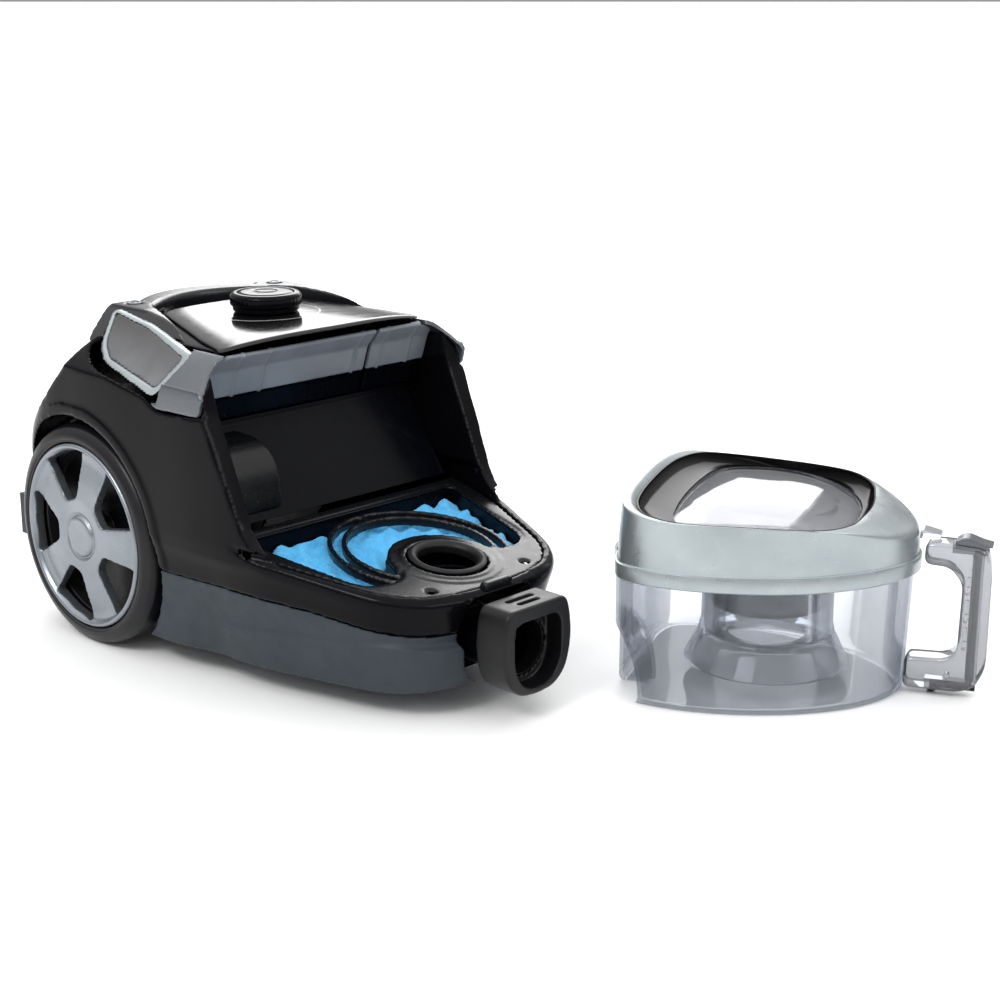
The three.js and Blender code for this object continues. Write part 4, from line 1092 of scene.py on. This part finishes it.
def raised(plan, table, grow=0.0, lift=0.0):
    """Loop of the given plan, at the heights that the table gives along its length."""
    loop = lid_loop(grow, plan)
    return np.c_[loop, height(table, loop[:, 1]) + lift]


def rounded_corner(before, corner, after, reach, steps=7):
    """Rings that turn from one surface into the next round a corner loop."""
    a, b = before - corner, after - corner
    a, b = (d / np.linalg.norm(d, axis=1)[:, None] * reach[:, None] + corner for d in (a, b))
    return [(1 - t) ** 2 * a + 2 * t * (1 - t) * corner + t ** 2 * b for t in np.linspace(0, 1, steps)]


def lid_cover():
    """Painted frame: rim band, tall side, crest, and a top that falls to the nose."""
    rings = [np.c_[lid_loop(g), np.full(LID_POINTS, z)] for g, z in (
        (-1.7, 98.3), (-0.9, 99.2), (-0.9, 109.2), (-1.2, 109.9), (-2.5, 110.2), (-3.1, 110.9))]
    foot, crest, mouth = rings[-1], raised(CREST_PLAN, CREST_TOP), raised(BEZEL_PLAN, BEZEL_TOP)
    width = np.linalg.norm(mouth - crest, axis=1)
    reach = np.clip(0.3 * width, 0.5, 7)
    middle = np.c_[np.tile(LID_MIDDLE, (LID_POINTS, 1)), foot[:, 2]]
    outward = (foot - middle) / np.linalg.norm(foot - middle, axis=1)[:, None]
    low = crest + (foot - crest) * (reach / np.linalg.norm(foot - crest, axis=1))[:, None]
    for t in np.linspace(0.05, 0.97, 16):
        rings.append(foot + (low - foot) * t + outward * (0.3 * math.sin(math.pi * t)))
    rings += rounded_corner(foot, crest, mouth, reach)
    start = rings[-1]
    for t in np.linspace(0.12, 1, 12):
        level = start + (mouth - start) * t
        level[:, 2] += 0.05 * width * math.sin(math.pi * t)
        rings.append(level)
    rings += [mouth - np.array((0, 0, d)) for d in (0.8, 2.8)]
    rings.append(raised(BEZEL_PLAN, BEZEL_TOP, 0.2, -8))
    rings += [np.c_[lid_loop(-5), np.full(LID_POINTS, z)] for z in (114.0, 98.3)]
    cover = stack(rings, closed=True)
    knuckle = across(fillet([(-36, 100), (-24, 100), (-24, 108), (-36, 108)], 1.5), -29, 29)
    core = stack([np.c_[lid_loop(-2.4), np.full(LID_POINTS, z)] for z in (90, 120)])
    room = across([(-37, 90), (-23.5, 90), (-23.5, 109), (-37, 109)], 29.3, 40.7)
    cover = cut(join(cover, cut(knuckle, core)), room, mirrored(room), rod(2.4, (-60, -32, 104), (60, -32, 104), 32))
    place("lid_cover", cover, "silver", "lid", "lid_frame", space=CONTAINER, sharp=38)


def lid_black_ring():
    """Gloss funnel between the frame and the clear dome."""
    outer, inner = raised(BEZEL_PLAN, BEZEL_TOP, -GAP), raised(DOME_PLAN, DOME_FOOT, GAP)
    rings = [outer - np.array((0, 0, 1.2)), outer - np.array((0, 0, 0.3)), outer + np.array((0, 0, 0.3))]
    inward = (inner - outer) / np.linalg.norm(inner - outer, axis=1)[:, None]
    rings += [outer + inward * 0.8 + np.array((0, 0, 0.75)), outer + inward * 1.8 + np.array((0, 0, 0.7))]
    start = rings[-1]
    for t in np.linspace(0, math.pi / 2, 18)[1:]:
        level = start.copy()
        level[:, :2] += (inner - start)[:, :2] * (1 - math.cos(t))
        level[:, 2] += (inner - start)[:, 2] * math.sin(t)
        rings.append(level)
    under = [ring - np.array((0, 0, 2.6)) for ring in rings[:4:-1]]
    place("lid_black_ring", stack(rings + under, closed=True), "gloss_lid", "lid", "lid_bezel", space=CONTAINER, sharp=50)


def lid_dome():
    """Clear crowned cover over the cyclone."""
    edge = raised(DOME_PLAN, DOME_FOOT, 0, -0.6)
    middle = np.array((0.0, -76.0, 141.0))

    def ring(share, thickness):
        level = middle + (edge - middle) * share
        level[:, 2] += 10.5 * (1 - share ** 2.2) ** 0.75 - thickness
        return level

    shares = [1, 0.997, 0.985, 0.965, 0.93, 0.88, 0.82, 0.74, 0.65, 0.54, 0.42, 0.3, 0.17, 0.05]
    rings = [ring(share, 2.2) for share in shares[::-1]] + [ring(share, 0) for share in shares]
    place("lid_dome", stack(rings), "dome", "lid", "lid_window", space=CONTAINER, sharp=60)


def cyclone():
    tube = fillet([(49, 40), (52, 40), (52.6, 41), (52.6, 42.5), (51.4, 43.5), (51.4, 92), (52.2, 93), (52.2, 94.5),
                   (51.4, 95.5), (51.4, 141), (52.4, 143), (50, 143), (49, 141)], 0.6, 3)
    place("cyclone_tube_clear", shifted(lathe(tube, 128), v=CYCLONE_V), "inner", "lid", "cyclone_tube", space=CONTAINER)
    skirt = fillet([(30, 34), (50, 34), (62, 14), (64.5, 14), (57, 30), (53, 38), (52, 39.6), (30, 36)], 3, 5)
    place("cyclone_skirt_clear", shifted(lathe(skirt, 128), v=CYCLONE_V), "inner", "lid", "cyclone_skirt", space=CONTAINER)
    vane = fillet([(10, 60), (44, 60), (47, 64), (47, 110), (44, 110), (44, 66), (12, 64), (12, 100), (10, 100)], 1.2, 3)
    place("cyclone_vane_clear", shifted(lathe(vane, 128), v=CYCLONE_V), "inner", "lid", "cyclone_vane", space=CONTAINER)


def rounded_slab(loop, x0, x1, radius, steps=5):
    """Side outline between x0 and x1 with both edges rolled over."""
    rings = []
    bend = np.linspace(0, math.pi / 2, steps)
    for t in bend:
        rings.append((x0 + radius * (1 - math.cos(t)), -radius * (1 - math.sin(t))))
    rings += [(x1 - (x - x0), g) for x, g in rings[::-1]]
    return stack([np.c_[np.full(len(loop), x), -offset(loop, g)[:, 0], offset(loop, g)[:, 1]] for x, g in rings])


def grip():
    outline = fillet(HANDLE_SIDE[::-1], 6, 6)
    body = cut(rounded_slab(outline, -11, 11, 3), bin_solid(GAP, -2, 120, 1))
    channel = rod(4.4, (0, CHANNEL_V, -5), (0, CHANNEL_V, 140), 40)
    well = block(-8.5, 8.5, 217, 243.5, 115.5, 140)
    hook_well = block(-4, 4, 202, 243, -1, 12)
    screw_hole = rod(2.2, (-20, 219, 18), (-6, 219, 18), 24)
    pin_hole = rod(1.7, (-9.5, 217, 7.2), (9.5, 217, 7.2), 24)
    hollows = []
    for z0, z1 in ((40, 58), (62, 80), (84, 98)):
        pocket = across(fillet([(228.5, z0), (231.2, z0), (231.2, z1), (228.5, z1)], 1), -12, -7.5)
        hollows += [pocket, mirrored(pocket)]
    body = cut(body, channel, well, hook_well, screw_hole, pin_hole, *hollows)
    place("grip_clear", body, "clear", "container", "bin_handle", space=CONTAINER, sharp=38)
    button = fillet([(218.6, 119), (218.6, 124), (224, 127.6), (229.5, 127.8), (238, 124.6), (246.3, 122.9), (246.3, 121.4),
                     (242.8, 121.2), (242.8, 119)][::-1], 1.6, 4)
    key = join(rounded_slab(button, -8.1, 8.1, 1.2), rod(3.4, (0, CHANNEL_V, 113.4), (0, CHANNEL_V, 121), 32))
    place("thumb_key", moulded(key, 0.5, 4), "graphite", "release", "release_button", space=CONTAINER)
    stem = fillet([(0, 8.6), (1.1, 8.6), (1.6, 12.4), (3.4, 14), (3.4, 30), (2.4, 31), (2.4, 108), (3.4, 109), (3.4, 113), (0, 113)], 0.5, 3, closed=False)
    place("latch_stem", shifted(lathe(stem, 40, False), v=CHANNEL_V), "ledge", "release", "latch_rod", space=CONTAINER)
    catch = across(fillet([(184, 124.4), (208, 124.4), (208, 128), (196, 131), (184, 131)], 1.2), -8, 8)
    core = stack([np.c_[lid_loop(-2), np.full(LID_POINTS, z)] for z in (90, 165)])
    place("nose_catch", moulded(cut(catch, core), 0.5, 3), "clear", "lid", "lid_catch", space=CONTAINER)


# ---------------------------------------------------------------- studio


def studio():
    floor = bpy.data.objects.new("floor", shape(
        [(-60, -60, 0), (60, -60, 0), (60, 60, 0), (-60, 60, 0)], [(0, 1, 2, 3)]))
    n = Nodes("floor_white")
    shader = n.add("ShaderNodeBsdfPrincipled")
    n.set(shader, "Base Color", n.mix(n.spread(n.noise(3, 2), 0, 1), (0.9, 0.9, 0.9, 1), (0.93, 0.93, 0.93, 1)))
    n.set(shader, "Roughness", 0.55)
    n.set(n.output, "Surface", shader.outputs[0])
    floor.data.materials.append(n.material)
    bpy.context.scene.collection.objects.link(floor)

    world = bpy.data.worlds.new("studio")
    world.use_nodes = True
    tree = world.node_tree
    sky = tree.nodes.new("ShaderNodeTexCoord").outputs["Generated"]
    height = tree.nodes.new("ShaderNodeSeparateXYZ")
    ramp = tree.nodes.new("ShaderNodeMapRange")
    ramp.interpolation_type = "SMOOTHSTEP"
    tree.links.new(sky, height.inputs[0])
    tree.links.new(height.outputs["Z"], ramp.inputs["Value"])
    for key, value in (("From Min", 0.05), ("From Max", 0.75), ("To Min", 0.32), ("To Max", 1.45)):
        ramp.inputs[key].default_value = value
    tree.links.new(ramp.outputs["Result"], tree.nodes["Background"].inputs["Strength"])
    tree.nodes["Background"].inputs["Color"].default_value = (1, 1, 1, 1)
    bpy.context.scene.world = world

    for name, at, size, power in (
            ("key", (-1.5, -0.2, 1.5), (0.9, 0.5), 16), ("front", (0.5, -2.2, 1.5), (1.6, 0.5), 9),
            ("back", (1.75, 1.5, 1.25), (1.7, 1.3), 27)):
        lamp = bpy.data.lights.new(name, "AREA")
        lamp.shape, lamp.size, lamp.size_y = "RECTANGLE", *size
        lamp.energy = power
        light = bpy.data.objects.new(name, lamp)
        light.location = at
        light.rotation_euler = (Vector((0, 0, 0.1)) - Vector(at)).to_track_quat("-Z", "Y").to_euler()
        bpy.context.scene.collection.objects.link(light)

    camera = bpy.data.objects.new("camera", bpy.data.cameras.new("camera"))
    camera.data.sensor_width = 36
    camera.data.lens = CAMERA_FOCAL
    camera.data.clip_start, camera.data.clip_end = 0.05, 30
    camera.location = MACHINE @ Vector(CAMERA_AT)
    camera.rotation_euler = (math.radians(90 - CAMERA_PITCH), 0, math.radians(CAMERA_AZIMUTH))
    bpy.context.scene.collection.objects.link(camera)
    bpy.context.scene.camera = camera
    bpy.context.scene.view_settings.view_transform = "Standard"


CAMERA_AT = (-947.7, -1258.5, 538.3)  # in the machine's own axes, with y towards its rear
CAMERA_PITCH = 15.92
CAMERA_AZIMUTH = -45.96
CAMERA_FOCAL = 67.3

studio()
floor_pan()
upper_shell()
deck()
foam()
port_gasket()
air_duct()
connector()
rear_wall()
duct_cover()
step_ledges()
top_cover()
side_pieces()
handle()
wheel_pieces()
caster()
dial()
handle_keys()
dust_tub()
lid_cover()
lid_black_ring()
lid_dome()
cyclone()
grip()
for node, look in (
        ("filter_tray", "bay"), ("axle_left", "steel"), ("axle_right", "steel"), ("control_board", "board"),
        ("motor_housing", "satin"), ("motor_seal", "rubber"), ("motor_stator", "copper"), ("motor_fan", "steel"),
        ("reel_frame", "satin"), ("cord_reel", "satin"), ("exhaust_filter", "paper"), ("cord_outlet", "satin"),
        ("parking_bracket", "tray"), ("lid_seal", "rubber"), ("lid_hinge_pin", "steel"), ("latch_hook", "satin"),
        ("latch_hook_pin", "steel"), ("handle_screw", "steel")):
    keep(node, look)
